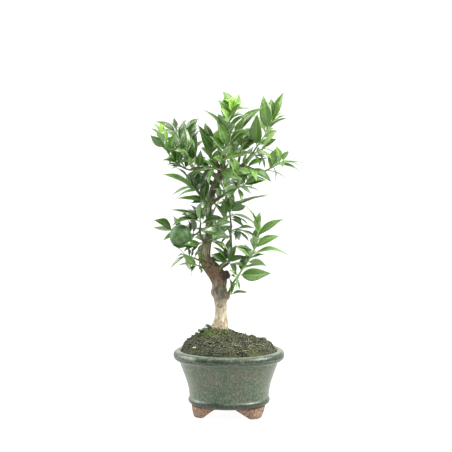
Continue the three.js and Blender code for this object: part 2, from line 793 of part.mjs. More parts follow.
// A leaf that the rule adds: it stands off the stem at the golden turn from the one before, and
// leans back from the viewer
function spareLeaf(route, index, share, number) {
  const { place, heading } = along(route, share);
  const first = new THREE.Vector3(-heading.y, heading.x, 0.001).normalize();
  const second = heading.clone().cross(first);
  const turn = GOLDEN_TURN * index + 2 * Math.PI * draw(number);
  const spread = drawBetween(SPARE_SPREAD, number + 1);
  const reach = heading
    .clone()
    .multiplyScalar(Math.cos(spread))
    .addScaledVector(first, Math.sin(spread) * Math.cos(turn))
    .addScaledVector(second, Math.sin(spread) * Math.sin(turn));
  reach.y = Math.abs(reach.y);
  reach.z += SPARE_LIFT;
  const length = drawBetween(SPARE_LENGTH, number + 2);
  const tip = place.clone().addScaledVector(reach.normalize(), length);
  const face = drawBetween(SPARE_FACE, number + 3);
  return { base: place, tip, face: place.y > BACK_DEPTH ? -face : face };
}

const stalkShare = (length) => Math.max(STALK_LENGTH[0], STALK_LENGTH[1] / length);

// Half width at a share of the blade: the widest place before the middle, then a long tip
function halfWidth(length, v) {
  const swell = Math.sin(Math.PI * Math.pow(v, BLADE_SKEW));
  const blade = Math.pow(swell, 0.9) * (1 - TIP_NARROWING * v * v * v);
  return Math.max(LEAF_WIDTH * length * blade, STALK_WIDTH * (1 - v));
}

// The cross sections of a leaf, each a folded lens: one edge, the top of the midrib, the other
// edge, the underside. They are at the stations of the blade from the share `from` on, or at the
// foot of the stalk too where `from` is 0.
function leafRings({ base, tip, face }, from, growth = 0) {
  const reach = tip.clone().sub(base);
  const length = reach.length();
  reach.divideScalar(length);
  const front = new THREE.Vector3(0, -1, 0.12);
  front.addScaledVector(reach, -front.dot(reach)).normalize();
  const beside = front.clone().cross(reach);
  if (beside.z < 0) beside.negate();
  const up = front.multiplyScalar(face).addScaledVector(beside, Math.sqrt(1 - face * face)).normalize();
  const side = up.clone().cross(reach);
  const stalk = stalkShare(length);
  const shares = BLADE_STATIONS.map((v) => stalk + v * (1 - stalk)).filter((share) => share > from + 0.02);
  const rings = (from === null ? shares : [from, ...shares]).map((share) => {
    const v = Math.max(0, (share - stalk) / (1 - stalk));
    const half = halfWidth(length, v) + growth;
    const rise = v > 0 ? LEAF_FOLD * half : 0;
    const thick = LEAF_THICKNESS / 2 + growth;
    const centre = base.clone().addScaledVector(reach, share * length);
    centre.addScaledVector(up, LEAF_ARCH * length * 4 * share * (1 - share));
    return [
      centre.clone().addScaledVector(side, half).addScaledVector(up, rise),
      centre.clone().addScaledVector(up, thick),
      centre.clone().addScaledVector(side, -half).addScaledVector(up, rise),
      centre.clone().addScaledVector(up, -thick),
    ];
  });
  return { rings, end: tip.clone().addScaledVector(reach, growth) };
}

// The solid that a leaf's clearance is tested with
function grownLeaf(leaf, from) {
  const { rings, end } = leafRings(leaf, from, LEAF_GROWTH);
  const geometry = skin(rings, end);
  geometry.computeBoundingBox();
  return { solid: solidOf(geometry), box: geometry.boundingBox };
}

function meets(a, b) {
  if (!a.box.intersectsBox(b.box)) return false;
  const common = a.solid.intersect(b.solid);
  const empty = common.isEmpty();
  common.delete();
  return !empty;
}

const boxed = (solid) => {
  const { min, max } = solid.boundingBox();
  return { solid, box: new THREE.Box3(new THREE.Vector3(...min), new THREE.Vector3(...max)) };
};

// The stem's route: from the nearest place on the wood's own lines, then along the listed points
function stemRoute(points) {
  const route = points.map((point) => new THREE.Vector3(...point));
  let nearest = null;
  for (const line of Object.values(LIMBS))
    for (let i = 0; i + 1 < line.length; i++) {
      const piece = new THREE.Line3(
        new THREE.Vector3(...line[i].slice(0, 3)),
        new THREE.Vector3(...line[i + 1].slice(0, 3)),
      );
      const place = piece.closestPointToPoint(route[0], true, new THREE.Vector3());
      if (!nearest || place.distanceTo(route[0]) < nearest.distanceTo(route[0])) nearest = place;
    }
  return nearest.distanceTo(route[0]) > 0.8 ? [nearest, ...route] : route;
}

const stemRadius = (share) => STEM_RADIUS[0] + (STEM_RADIUS[1] - STEM_RADIUS[0]) * share;

function grownStem(route) {
  const line = route.map(({ x, y, z }, i) => [x, y, z, stemRadius(i / (route.length - 1))]);
  return boxed(limb(line, 4, GAP));
}

// Which leaf stands at each place of a stem, from its foot to its end: the spare ones are spread
// evenly among the listed ones, and a listed one stands at the end
function leafOrder(listed, spare) {
  const count = listed + spare;
  const room = listed ? count - 1 : count;
  const order = Array(count).fill(null);
  for (let j = 0; j < spare; j++) order[Math.floor(((j + 0.5) * room) / spare)] = { spare: j };
  let next = 0;
  return order.map((place) => place ?? { listed: next++ });
}

// The stem is divided evenly between its leaves above the bare stretch; each stands in the middle
// of its part, and the last one at the end
const partStart = (i, count) => STEM_BARE + ((1 - STEM_BARE) * i) / Math.max(count - 1, 1);
const leafShare = (i, count) => (i === count - 1 ? 1 : (partStart(i, count) + partStart(i + 1, count)) / 2);

const middleOf = (points) =>
  points.reduce((sum, p) => sum.add(p), new THREE.Vector3()).divideScalar(points.length);

// The triangles between two rings of corners that run alike
const band = (a, b) =>
  a.flatMap((corner, i) => {
    const j = (i + 1) % a.length;
    return [
      [corner, a[j], b[j]],
      [corner, b[j], b[i]],
    ];
  });

// The four-sided stem of a shoot: its rings of corners, and which stretch each leaf stands on
function stemParts(route, count) {
  const lengths = route.map((point, i) => (i ? point.distanceTo(route[i - 1]) : 0));
  const whole = lengths.reduce((a, b) => a + b);
  const shares = [0];
  let passed = 0;
  for (const length of lengths.slice(1)) {
    passed += length / whole;
    if (passed < STEM_BARE - 0.01) shares.push(passed);
  }
  const bare = shares.length;
  const parts = Math.max(count, 2);
  for (let i = 0; i < parts; i++) shares.push(partStart(i, parts));
  let across = new THREE.Vector3(1, 0.2, 0.1);
  const rings = shares.map((share) => {
    const { place, heading } = along(route, share);
    across = across.clone().addScaledVector(heading, -across.dot(heading)).normalize();
    const upright = heading.clone().cross(across);
    const radius = stemRadius(share);
    const corner = (direction, sign) => place.clone().addScaledVector(direction, sign * radius);
    return [corner(across, 1), corner(upright, 1), corner(across, -1), corner(upright, -1)];
  });
  const side = (k, i) => [rings[k][i], rings[k][(i + 1) % 4], rings[k + 1][(i + 1) % 4], rings[k + 1][i]];
  const stretches = rings.slice(1).map((_, k) => [0, 1, 2, 3].map((i) => side(k, i)));
  return { foot: [...rings[0]].reverse(), stretches, end: rings.at(-1), bare };
}

const halves = ([a, b, c, d]) => [
  [a, b, c],
  [a, c, d],
];

// The skins that a leaf may have: drawn out of one of the stem's sides that face its way, or out
// of the stem's end for the last leaf, with its corners matched in one of the two easiest ways
function leafSkins(leaf, place, { stretches, end, bare }, count) {
  const { rings, end: peak } = leafRings(leaf, null);
  let roots = [end];
  if (place < count - 1) {
    const sides = stretches[bare + place];
    const axis = middleOf(sides.flat());
    const reach = leaf.tip.clone().sub(axis);
    const towards = (side) => middleOf(side).sub(axis).normalize().dot(reach);
    roots = [...sides].sort((a, b) => towards(b) - towards(a)).slice(0, 2);
  }
  return roots.flatMap((root) => {
    const directions = (ring) => {
      const middle = middleOf(ring);
      return ring.map((corner) => corner.clone().sub(middle).normalize());
    };
    const [from, to] = [directions(root), directions(rings[0])];
    const strain = (turn) => from.reduce((sum, d, i) => sum + d.distanceTo(to[(i + turn) % 4]), 0);
    return [0, 1, 2, 3]
      .sort((a, b) => strain(a) - strain(b))
      .slice(0, 2)
      .map((turn) => {
        const turned = rings.map((ring) => ring.map((_, i) => ring[(i + turn) % 4]));
        const chain = [root, ...turned];
        const last = chain.at(-1);
        const bands = turned.flatMap((ring, i) => band(chain[i], ring));
        const point = last.map((corner, i) => [peak, corner, last[(i + 1) % 4]]);
        return { root, faces: [...bands, ...point] };
      });
  });
}

// Whether two triangles of one skin cross. Triangles that share an edge don't.
function cross(one, other) {
  if (one.filter((corner) => other.includes(corner)).length > 1) return false;
  return pierces(one, other) || pierces(other, one);
}

function pierces(edges, [a, b, c]) {
  const [first, second] = [b.clone().sub(a), c.clone().sub(a)];
  return edges.some((from, i) => {
    const to = edges[(i + 1) % 3];
    if ([a, b, c].includes(from) || [a, b, c].includes(to)) return false;
    const way = to.clone().sub(from);
    const h = way.clone().cross(second);
    const scale = first.dot(h);
    if (Math.abs(scale) < 1e-9) return false;
    const offset = from.clone().sub(a);
    const u = offset.dot(h) / scale;
    const k = offset.cross(first);
    const v = way.dot(k) / scale;
    const t = second.dot(k) / scale;
    return u > 0 && v > 0 && u + v < 1 && t > 0 && t < 1;
  });
}

const bounded = (faces) => faces.map((face) => ({ face, box: new THREE.Box3().setFromPoints(face) }));
const crossAny = (some, others) =>
  some.some((a) => others.some((b) => a.box.intersectsBox(b.box) && cross(a.face, b.face)));

// The first skin of a leaf that crosses neither itself, nor its stem, nor the leaves laid there
function fittingSkin(leaf, place, shoot) {
  for (const skinned of leafSkins(leaf, place, shoot.stem, shoot.order.length)) {
    const faces = bounded(skinned.faces);
    const itself = faces.some((a, i) => faces.slice(i + 1).some((b) => cross(a.face, b.face)));
    if (itself) continue;
    const onRoot = ({ face }) => face.every((corner) => skinned.root.includes(corner));
    if (crossAny(faces, shoot.stemFaces.filter((face) => !onRoot(face)))) continue;
    if (shoot.leaves.some((other) => other && crossAny(faces, other.faces))) continue;
    return { leaf, root: skinned.root, faces };
  }
  return null;
}

// Lays every leaf in turn, each with the first bend that keeps it clear of all that is there
function layLeaves(shoots, wood, fruits) {
  const laid = [];
  const clear = (leaf, place, shoot) => {
    const blade = grownLeaf(leaf, BLADE_FOOT);
    const whole = grownLeaf(leaf, 0);
    if (meets(blade, wood) || fruits.some((fruit) => meets(whole, fruit))) return null;
    if (shoots.some((other) => other !== shoot && meets(whole, other.grown))) return null;
    if (meets(grownLeaf(leaf, CLEAR_SHARE), shoot.grown)) return null;
    const crosses = (other) =>
      other.shoot === shoot ? meets(blade, other.blade) : meets(whole, other.whole);
    if (laid.some(crosses)) return null;
    const skinned = fittingSkin(leaf, place, shoot);
    if (skinned) laid.push({ shoot, blade, whole });
    return skinned;
  };
  const each = (kind, candidatesOf) =>
    shoots.forEach((shoot, number) =>
      shoot.order.forEach((item, place) => {
        if (!(kind in item)) return;
        for (const leaf of candidatesOf(shoot, item[kind], place, number)) {
          shoot.leaves[place] = clear(leaf, place, shoot);
          if (shoot.leaves[place]) return;
        }
      }),
    );
  each("listed", (shoot, i, place) =>
    BENDS.map((bend) => listedLeaf(shoot.route, shoot.tips[i], leafShare(place, shoot.order.length), bend)),
  );
  each("spare", (shoot, i, place, number) =>
    Array.from({ length: SPARE_TRIES }, (_, attempt) => {
      const seed = SEED + 10000 * number + 400 * i + 4 * attempt;
      return spareLeaf(shoot.route, i, leafShare(place, shoot.order.length), seed);
    }),
  );
}

// A shoot's solid in one skin: the stem with its leaves drawn out of it
function shootSolid({ stem, stemFaces, leaves }) {
  const grown = leaves.filter(Boolean);
  const covered = (face) => grown.some(({ root }) => face.every((corner) => root.includes(corner)));
  const faces = [...stemFaces, ...grown.flatMap((leaf) => leaf.faces)].map(({ face }) => face);
  const points = faces.filter((face) => !covered(face)).flat();
  return solidOf(new THREE.BufferGeometry().setFromPoints(points));
}

// The whole plant in its pot

const material = (color, roughness, metalness = 0) =>
  new THREE.MeshStandardMaterial({ color, roughness, metalness });
const glaze = material(0x6f8078, 0.25);
const earth = material(0x3b342b, 0.95);
const barkMaterial = material(0x9a8468, 0.85);
const plastic = material(0x22251f, 0.6);
const wire = material(0xb8b8b6, 0.35, 1);
const green = material(0x4f7f33, 0.45);
const rind = material(0x4a6b42, 0.5);

const bonsai = new THREE.Group();
function addPiece(name, solid, look) {
  const mesh = new THREE.Mesh(geometryOf(solid), look);
  mesh.name = name;
  bonsai.add(mesh);
}

const wood = woodSolid(0);
const grownWood = woodSolid(GAP);
addPiece("pot", potSolid(), glaze);
addPiece("drainage_mesh", meshSolid(), plastic);
addPiece("mesh_clip_wire", wireSolid(), wire);
addPiece("soil", soilSolid(grownWood), earth);
addPiece("trunk_and_branches", wood, barkMaterial);
for (const [name, fruit] of Object.entries(FRUITS))
  addPiece("fruit_" + name, fruitSolid(fruit).subtract(grownWood), rind);

const shoots = Object.entries(SHOOTS).map(([name, [points, tips, spare]]) => {
  const route = stemRoute(points);
  const order = leafOrder(tips.length, spare);
  const stem = stemParts(route, order.length);
  const stemFaces = bounded([stem.foot, ...stem.stretches.flat(), stem.end].flatMap(halves));
  return { name, route, tips, order, stem, stemFaces, grown: grownStem(route), leaves: [] };
});
layLeaves(
  shoots,
  boxed(grownWood),
  Object.values(FRUITS).map((fruit) => boxed(fruitSolid(fruit, GAP))),
);
for (const shoot of shoots)
  addPiece("shoot_" + shoot.name, largest(shootSolid(shoot).subtract(grownWood)), green);

// The origin is on the table, under the middle of the whole object
const extent = new THREE.Box3().setFromObject(bonsai);
const middle = extent.getCenter(new THREE.Vector3());
bonsai.position.set(-middle.x, -middle.y, -extent.min.z);
const root = new THREE.Group();
root.add(bonsai);

export default root;
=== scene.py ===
# The myrtle-leaf orange bonsai in its glazed pot, dressed for the render.
# The scene is in metres, +Z up. Lengths in the tables are millimetres from the pot's axis.
import math
from itertools import combinations

import bpy
import numpy as np
from mathutils import Euler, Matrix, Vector, noise
from mathutils.kdtree import KDTree


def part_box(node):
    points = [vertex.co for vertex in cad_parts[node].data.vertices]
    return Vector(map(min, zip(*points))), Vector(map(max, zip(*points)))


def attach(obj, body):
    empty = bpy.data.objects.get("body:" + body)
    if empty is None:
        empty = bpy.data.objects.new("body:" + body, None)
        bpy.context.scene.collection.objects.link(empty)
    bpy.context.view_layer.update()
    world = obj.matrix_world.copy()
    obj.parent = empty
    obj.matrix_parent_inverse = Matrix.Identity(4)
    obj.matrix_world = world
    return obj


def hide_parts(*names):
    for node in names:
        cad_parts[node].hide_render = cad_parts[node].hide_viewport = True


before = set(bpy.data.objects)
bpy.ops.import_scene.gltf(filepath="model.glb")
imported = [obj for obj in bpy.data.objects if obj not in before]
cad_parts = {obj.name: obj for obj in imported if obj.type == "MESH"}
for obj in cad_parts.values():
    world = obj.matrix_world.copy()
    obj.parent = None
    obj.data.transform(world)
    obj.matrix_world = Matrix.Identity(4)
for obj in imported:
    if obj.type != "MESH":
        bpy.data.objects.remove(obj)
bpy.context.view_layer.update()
pot_low, pot_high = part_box("pot")
AXIS = (pot_low + pot_high) / 2
MM = 0.001

# The part's own driving dimensions
RIM_RADIUS = 73.3
RIM_TOP = 86.4
LIP_HALF_WIDTH = 6.3
LIP_HALF_HEIGHT = 6.8
UNDERSIDE = 15.2
FLOOR = 19
BASE_RADIUS = 50.2
BAND_RADIUS = 50.9
BAND_HEIGHT = 20.6
DRAIN_RADIUS = 9
FOOT_TURNS = (202.9, 322.7, 82.8)
FOOT_RADIUS = 43.4
FOOT_LEVELS = ((0, 4.4, 12.5), (1.2, 5.6, 16.5), (5, 6.1, 24), (10, 6.5, 34), (14, 6.7, 42), (17.5, 6.7, 48))
LIP_TURN_IN = 130
SOIL_PEAK = 117
MOUND_PLACE = (-19, 0)
SOIL_CONE = 0.66
SOIL_BRIM = 24
LUMP_HEIGHT = 1.1
STEM_RADIUS = (1.15, 0.7)
STEM_BARE = 0.12
LAST_STATION = 0.64  # of the part's coarser blades
LEAF_WIDTH = 0.175
BLADE_SKEW = 0.82
TIP_NARROWING = 0.35
STALK_LENGTH = (0.1, 2.2)
STALK_WIDTH = 0.7
LEAF_FOLD = 0.24
LEAF_ARCH = 0.09
SPARE_LENGTH = (26, 38)
SPARE_SPREAD = (0.75, 1.25)
SPARE_FACE = (0.3, 0.95)
SPARE_LIFT = 0.1
SPARE_TRIES = 40
BACK_DEPTH = 22
GOLDEN_TURN = 2.39996
SEED = 4127

# Trunk and branches: x, y, z and radius along each
LIMBS = {
    "trunk": [(-13, 0, 80, 11), (-13, 0, 96, 12.5), (-13, 0, 107, 12.5), (-12, 0, 115, 11.8),
        (-11, 0, 124, 9.5), (-11, 0, 133, 7.9), (-11, 0, 148, 7.7), (-11, 0, 156, 10), (-12, 0, 163, 10.6),
        (-12.5, 0, 170, 8.7), (-12.5, 0, 179, 11), (-18, 1, 188, 11.2), (-27, 2, 198, 9.2),
        (-32, 4, 207, 7.2), (-31, 5, 219, 6.9), (-27, 6, 232, 4.9), (-27, 8, 246, 4.2), (-27, 9, 262, 3.9),
        (-26, 9, 277, 3.9), (-23, 8, 290, 4.3), (-19, 5, 303, 5.1), (-13, 2, 312, 5.6), (-9, 1, 322, 4.6),
        (-8, 1, 333, 3.6), (-6, 0, 345, 2.7), (-5, 0, 353, 2.1)],
    "stump_right": [(-13, 0, 181, 7), (-7, -2, 184, 6.2), (-1, -5, 187, 5.4)],
    "stump_top": [(-10, 1, 319, 3.6), (-15, -4, 328, 3.4), (-18, -8, 335, 3.2)],
    "left_top": [(-13, 2, 312, 3.6), (-24, -2, 320, 3.1), (-34, -5, 325, 2.7), (-43, -8, 326, 2.2),
        (-51, -10, 323, 1.7)],
    "left_back": [(-19, 5, 303, 3.2), (-30, 18, 311, 2.7), (-41, 30, 320, 2.2), (-51, 40, 328, 1.6)],
    "right_top": [(-10, 1, 320, 3.7), (0, 5, 323, 3.2), (9, 9, 325, 2.9), (18, 11, 329, 2.5),
        (26, 14, 338, 2.1), (32, 15, 346, 1.7)],
    "right_low": [(18, 11, 329, 2.1), (28, 8, 325, 1.8), (38, 4, 322, 1.5), (46, 0, 321, 1.3)],
    "right_up": [(10, 9, 325, 2.3), (13, 12, 335, 1.9), (15, 16, 344, 1.5)],
    "mid_right": [(-25, 9, 277, 2.9), (-17, 4, 284, 2.4), (-9, -2, 289, 2.1), (-1, -9, 294, 1.8),
        (8, -15, 298, 1.4)],
    "mid_left": [(-26, 9, 274, 1.9), (-33, 5, 284, 1.6), (-39, 0, 293, 1.3)],
    "fork_left": [(-29, 6, 224, 2.4), (-35, 2, 231, 2), (-38, -1, 239, 1.7), (-38, -4, 246, 1.5),
        (-37, -6, 253, 1.3)],
    "low_left": [(-32, 2, 202, 2.6), (-36, -5, 205, 1.9), (-41, -9, 206, 1.4)],
    "low_spur": [(-25, 2, 189, 2.4), (-33, -5, 194, 1.5), (-39, -9, 198, 1.2)],
    "centre": [(-17, 5, 191, 3.3), (-8, 10, 195, 2.6), (0, 14, 200, 2.2), (4, 16, 210, 2), (3, 18, 222, 1.8),
        (2, 18, 235, 1.7), (3, 16, 249, 1.5), (2, 15, 258, 1.3)],
    "knob": [(-11, 0, 155, 4.4), (-3, -4, 155, 3.4), (0, -5, 162, 1.9), (3, -6, 170, 1.6),
        (7, -8, 178, 1.4)],
    "back_high": [(-16, 4, 310, 3.2), (-9, 18, 320, 2.5), (-3, 30, 328, 2)],
    "back_mid": [(-27, 9, 254, 2.6), (-24, 21, 262, 2.1), (-20, 34, 269, 1.7)],
    "back_low": [(-31, 4, 210, 2.9), (-29, 19, 216, 2.2), (-25, 32, 223, 1.7)],
    "stalk_left": [(-38, -3, 243, 1.5), (-43, -6, 239, 1.2), (-48, -10, 238, 1.3)],
    "stalk_hidden": [(-30, 18, 311, 1.7), (-32, 15, 310, 1.3), (-34, 13, 309, 1.3)],
}

# Surface roots: azimuth in degrees, reach from the trunk's axis, radius at the trunk
ROOTS = [(188, 21, 4.8), (262, 15, 4), (338, 19, 5), (85, 18, 4.5)]

# Fruits: centre, radius, and the end of the stalk that each hangs on
FRUITS = {
    "left": ((-63, -14, 237), 14.3, (-48, -10, 238)),
    "hidden": ((-46, 10, 309), 11.2, (-34, 13, 309)),
}

# Leafy shoots: the stem's route, then each leaf's tip with how far its upper side faces front,
# from the foot of the shoot to its end, then how many more leaves the rule adds
SHOOTS = {
    "left_tip": (
        [(-51, -10, 323), (-60, -12, 326), (-69, -15, 334), (-78, -16, 343), (-83, -18, 353),
        (-86, -18, 365), (-87, -18, 372)],
        [(-80, -31, 330, 0.3), (-88, -2, 335, 0.3), (-57, -30, 362, 0.8), (-78, 8, 331, -0.5),
        (-101, -6, 363, 0.25), (-76, 6, 359, -0.8), (-101, -28, 368, -0.7), (-93, -34, 373, -0.8),
        (-101, -12, 377, -0.4), (-81, -6, 385, 0.5), (-89, -21, 384, -0.9)], 5,
    ),
    "left_high": (
        [(-47, 0, 328), (-55, 5, 341), (-62, 8, 354), (-67, 9, 366), (-70, 9, 375)],
        [(-69, -18, 357, 0.85), (-57, -15, 367, 0.9), (-85, -2, 363, 0.5), (-59, 25, 364, 0.6),
        (-55, 12, 391, 0.6), (-79, 18, 387, 0.5), (-72, 2, 391, -0.9)], 6,
    ),
    "left_inner": (
        [(-42, 8, 329), (-48, 12, 341), (-53, 18, 353), (-58, 20, 365), (-60, 21, 372)],
        [(-39, 2, 360, 0.4), (-67, 38, 361, 0.8), (-41, 15, 390, 0.8), (-46, 30, 391, 0.35),
        (-62, 32, 388, 0.6)], 6,
    ),
    "left_front": (
        [(-38, -12, 327), (-45, -24, 335), (-53, -32, 343), (-59, -39, 350)],
        [(-36, -38, 349, 0.8), (-65, -48, 331, 0.6), (-46, -48, 358, 0.9), (-52, -60, 331, 0.6),
        (-69, -55, 348, 0.9), (-59, -52, 363, 0.9)], 3,
    ),
    "crown_left": (
        [(-24, 4, 327), (-24, 7, 338), (-22, 9, 348), (-22, 10, 353)],
        [(-43, -15, 340, 0.6), (-8, -12, 349, 0.6), (-41, 10, 382, 0.8), (-15, 25, 382, 0.8),
        (-29, 0, 386, 0.95)], 5,
    ),
    "leader": (
        [(-5, 0, 353), (-3, 0, 365), (-2, 0, 375), (1, -1, 388), (3, -2, 400), (5, -4, 408)],
        [(-34, 8, 403, 0.3), (23, -20, 375, 0.15), (-15, -15, 396, -0.75), (26, -12, 396, 0.6),
        (-17, 19, 394, -0.4), (-5, 14, 421, 0.95), (18, -18, 395, 0.3), (-1, -39, 384, 0.8),
        (13, 14, 423, 0.9), (27, -12, 402, 0.3), (-2, -11, 415, 0.6), (4, -5, 419, 0.7),
        (10, 0, 416, -0.7)], 5,
    ),
    "leader_right": (
        [(-6, 1, 346), (0, 4, 354), (7, 5, 362), (13, 5, 370)],
        [(26, -5, 372, 0.6), (22, 8, 394, 0.85), (37, -6, 409, 0.8)], 3,
    ),
    "leader_low": (
        [(-8, -2, 328), (-9, -8, 335), (-10, -11, 340)],
        [(-21, -30, 339, 0.7), (1, -34, 329, 0.7), (-16, -18, 355, -0.9), (4, -20, 354, -0.8)], 1,
    ),
    "right_inner": (
        [(15, 16, 344), (16, 19, 353), (17, 21, 361)],
        [(25, -2, 360, 0.7), (9, 8, 371, 0.9), (3, 32, 358, 0.7), (17, 10, 375, 0.85)], 6,
    ),
    "right_top": (
        [(32, 15, 346), (37, 14, 354), (43, 12, 362), (48, 11, 369), (50, 10, 377), (54, 9, 383),
        (58, 8, 388), (64, 6, 390)],
        [(37, -4, 396, 0.95), (62, 0, 363, 0.8), (21, 22, 372, 0.6), (59, 12, 378, 0.6), (33, 35, 391, -0.4),
        (44, 4, 421, 0.9), (76, 5, 392, 0.3), (56, 19, 417, -0.85), (72, 5, 425, 0.8), (74, 2, 394, -0.7),
        (68, -6, 398, 0.6)], 5,
    ),
    "right_hang": (
        [(28, 8, 341), (35, 2, 346), (42, -1, 350), (46, -4, 351)],
        [(51, 12, 338, 0.3), (39, -15, 328, 0.6), (46, -5, 325, 0.3), (57, -12, 331, 0.5),
        (60, 5, 344, 0.2)], 4,
    ),
    "right_low": (
        [(46, 0, 321), (54, -1, 325), (61, -2, 329), (70, -4, 334)],
        [(75, -15, 310, 0.15), (64, 5, 353, 0.9), (61, 8, 310, 0.2), (69, -32, 327, 0.5),
        (60, -14, 356, 0.85), (77, -18, 348, -0.85), (98, -4, 332, 0.5)], 5,
    ),
    "right_under": (
        [(20, 5, 327), (25, -6, 326), (29, -14, 324)],
        [(21, -18, 305, 0.7), (43, -15, 335, 0.6), (55, -25, 307, 0.8), (35, -35, 309, 0.6)], 4,
    ),
    "mid_front": (
        [(8, -15, 298), (13, -20, 301), (18, -24, 303)],
        [(-3, -38, 286, 0.8), (16, -30, 281, 0.8), (9, -31, 318, -0.8), (39, -34, 296, 0.2),
        (20, -16, 315, -0.7), (48, -18, 310, 0.9)], 3,
    ),
    "mid_heart": (
        [(-6, -8, 291), (-6, -15, 296), (-7, -20, 301)],
        [(6, -40, 285, 0.8), (-23, -30, 298, 0.5), (-12, -28, 311, -0.7), (5, -35, 306, 0.8)], 2,
    ),
    "heart_left": (
        [(-10, -5, 322), (-15, -14, 325), (-20, -21, 326), (-23, -26, 325)],
        [(14, -36, 311, 0.85), (-34, -30, 338, 0.7), (-26, -50, 305, 0.85), (-52, -26, 318, 0.7)], 3,
    ),
    "heart_right": (
        [(1, 0, 321), (5, -10, 320), (9, -16, 319)],
        [(-1, -28, 303, -0.6), (26, -22, 305, 0.8), (27, -38, 319, 0.6), (16, -12, 297, 0.7)], 4,
    ),
    "left_under": (
        [(-39, 0, 293), (-44, -5, 298), (-48, -10, 302), (-50, -15, 307)],
        [(-61, -28, 292, 0.5), (-87, -21, 318, 0.5), (-34, -12, 280, 0.5), (-58, -21, 319, -0.6)], 3,
    ),
    "mid_left_hang": (
        [(-30, 2, 279), (-33, -5, 282), (-36, -11, 283)],
        [(-29, -20, 263, -0.5), (-50, -12, 280, 0.7), (-42, -18, 296, 0.6), (-37, -21, 257, -0.7)], 3,
    ),
    "left_mid": (
        [(-37, -6, 253), (-38, -9, 259), (-38, -10, 263)],
        [(-73, -35, 252, 0.5), (-28, -28, 270, 0.6), (-62, -22, 266, 0.7), (-78, -10, 271, 0.5),
        (-52, 8, 277, 0.6)], 4,
    ),
    "fruit_behind": (
        [(-41, 4, 238), (-52, 12, 238), (-62, 18, 241), (-70, 18, 243), (-75, 16, 242)],
        [(-59, 22, 222, 0.6), (-54, 22, 256, 0.6), (-87, 8, 230, 0.5), (-100, 5, 247, -0.6),
        (-99, 2, 257, 0.6)], 3,
    ),
    "low_left_a": (
        [(-33, -1, 227), (-36, -6, 228), (-38, -11, 227)],
        [(-41, -5, 212, 0.6), (-49, -12, 214, 0.6), (-58, -28, 227, 0.6)], 1,
    ),
    "low_left_b": (
        [(-41, -9, 206), (-50, -14, 210), (-58, -19, 214)],
        [(-34, -30, 221, 0.5), (-50, -2, 221, 0.5), (-54, -25, 224, 0.6), (-69, -8, 208, 0.4),
        (-77, -16, 227, 0.35)], 2,
    ),
    "low_left_c": (
        [(-39, -9, 198), (-42, -12, 199)],
        [(-37, -25, 189, 0.5), (-69, -15, 198, 0.12), (-61, -25, 215, 0.75)], 1,
    ),
    "tuft": (
        [(2, 15, 258), (1, 10, 265), (1, 6, 271), (3, 4, 276)],
        [(16, -12, 252, 0.6), (26, 2, 250, 0.4), (37, 10, 249, 0.2), (21, -18, 277, -0.85),
        (52, -5, 291, 0.3), (-10, -22, 282, 0.8), (0, -28, 287, 0.7), (8, -20, 282, 0.8)], 4,
    ),
    "tuft_left": (
        [(3, 15, 253), (-3, 5, 256), (-9, -2, 258)],
        [(-19, -10, 246, 0.3), (-32, 5, 263, 0.5), (-36, -15, 253, 0.6)], 2,
    ),
    "centre_left": (
        [(2, 18, 234), (-2, 8, 236), (-7, -1, 238)],
        [(-10, -18, 226, 0.5), (-21, -18, 236, 0.6), (-12, -2, 250, 0.6), (-35, -28, 245, 0.85)], 2,
    ),
    "centre_right": (
        [(2, 18, 240), (5, 14, 243), (9, 10, 245)],
        [(9, 2, 230, 0.4), (26, 0, 229, 0.3), (29, 15, 234, 0.2)], 2,
    ),
    "trunk_front": (
        [(-26, 0, 231), (-23, -6, 232)],
        [(-3, 0, 214, 0.3), (-1, -19, 219, 0.5)], 1,
    ),
    "centre_low": (
        [(0, 11, 200), (-1, 2, 202), (-3, -5, 204)],
        [(9, -18, 187, -0.6), (-13, -15, 193, 0.5), (-24, -18, 213, 0.85), (25, -12, 209, 0.6),
        (0, -10, 229, 0.6)], 3,
    ),
    "right_long": (
        [(7, -8, 178), (14, -10, 188), (24, -11, 203), (33, -12, 217), (35, -12, 228), (37, -10, 238),
        (39, -9, 243)],
        [(55, -19, 189, 0.95), (11, -19, 168, -0.7), (50, -2, 197, 0.35), (4, -22, 202, -0.5),
        (24, -25, 209, -0.5), (50, 10, 195, -0.7), (12, -18, 223, 0.8), (77, -19, 213, 0.45),
        (6, 0, 221, 0.5), (67, -11, 237, 0.8), (31, -30, 239, -0.9), (53, 10, 230, 0.3), (14, -2, 245, 0.3),
        (73, -5, 259, 0.7), (41, -15, 269, 0.7), (21, -2, 277, 0.3)], 6,
    ),
    "knob_leaf": (
        [(1, -6, 161), (3, -11, 161)],
        [(24, -11, 163, 0.5)], 0,
    ),
    "back_high": (
        [(-3, 30, 328), (3, 42, 337), (8, 52, 348), (11, 59, 359)],
        [], 10,
    ),
    "back_left": (
        [(-51, 40, 328), (-58, 50, 338), (-63, 56, 351), (-66, 59, 361)],
        [], 10,
    ),
    "back_mid": (
        [(-20, 34, 269), (-15, 46, 278), (-11, 56, 287), (-7, 62, 296)],
        [], 9,
    ),
    "back_low": (
        [(-25, 32, 223), (-22, 45, 232), (-20, 55, 241), (-18, 61, 250)],
        [], 8,
    ),
    "back_side": (
        [(-21, 32, 268), (-30, 45, 273), (-38, 54, 275)],
        [], 7,
    ),
}

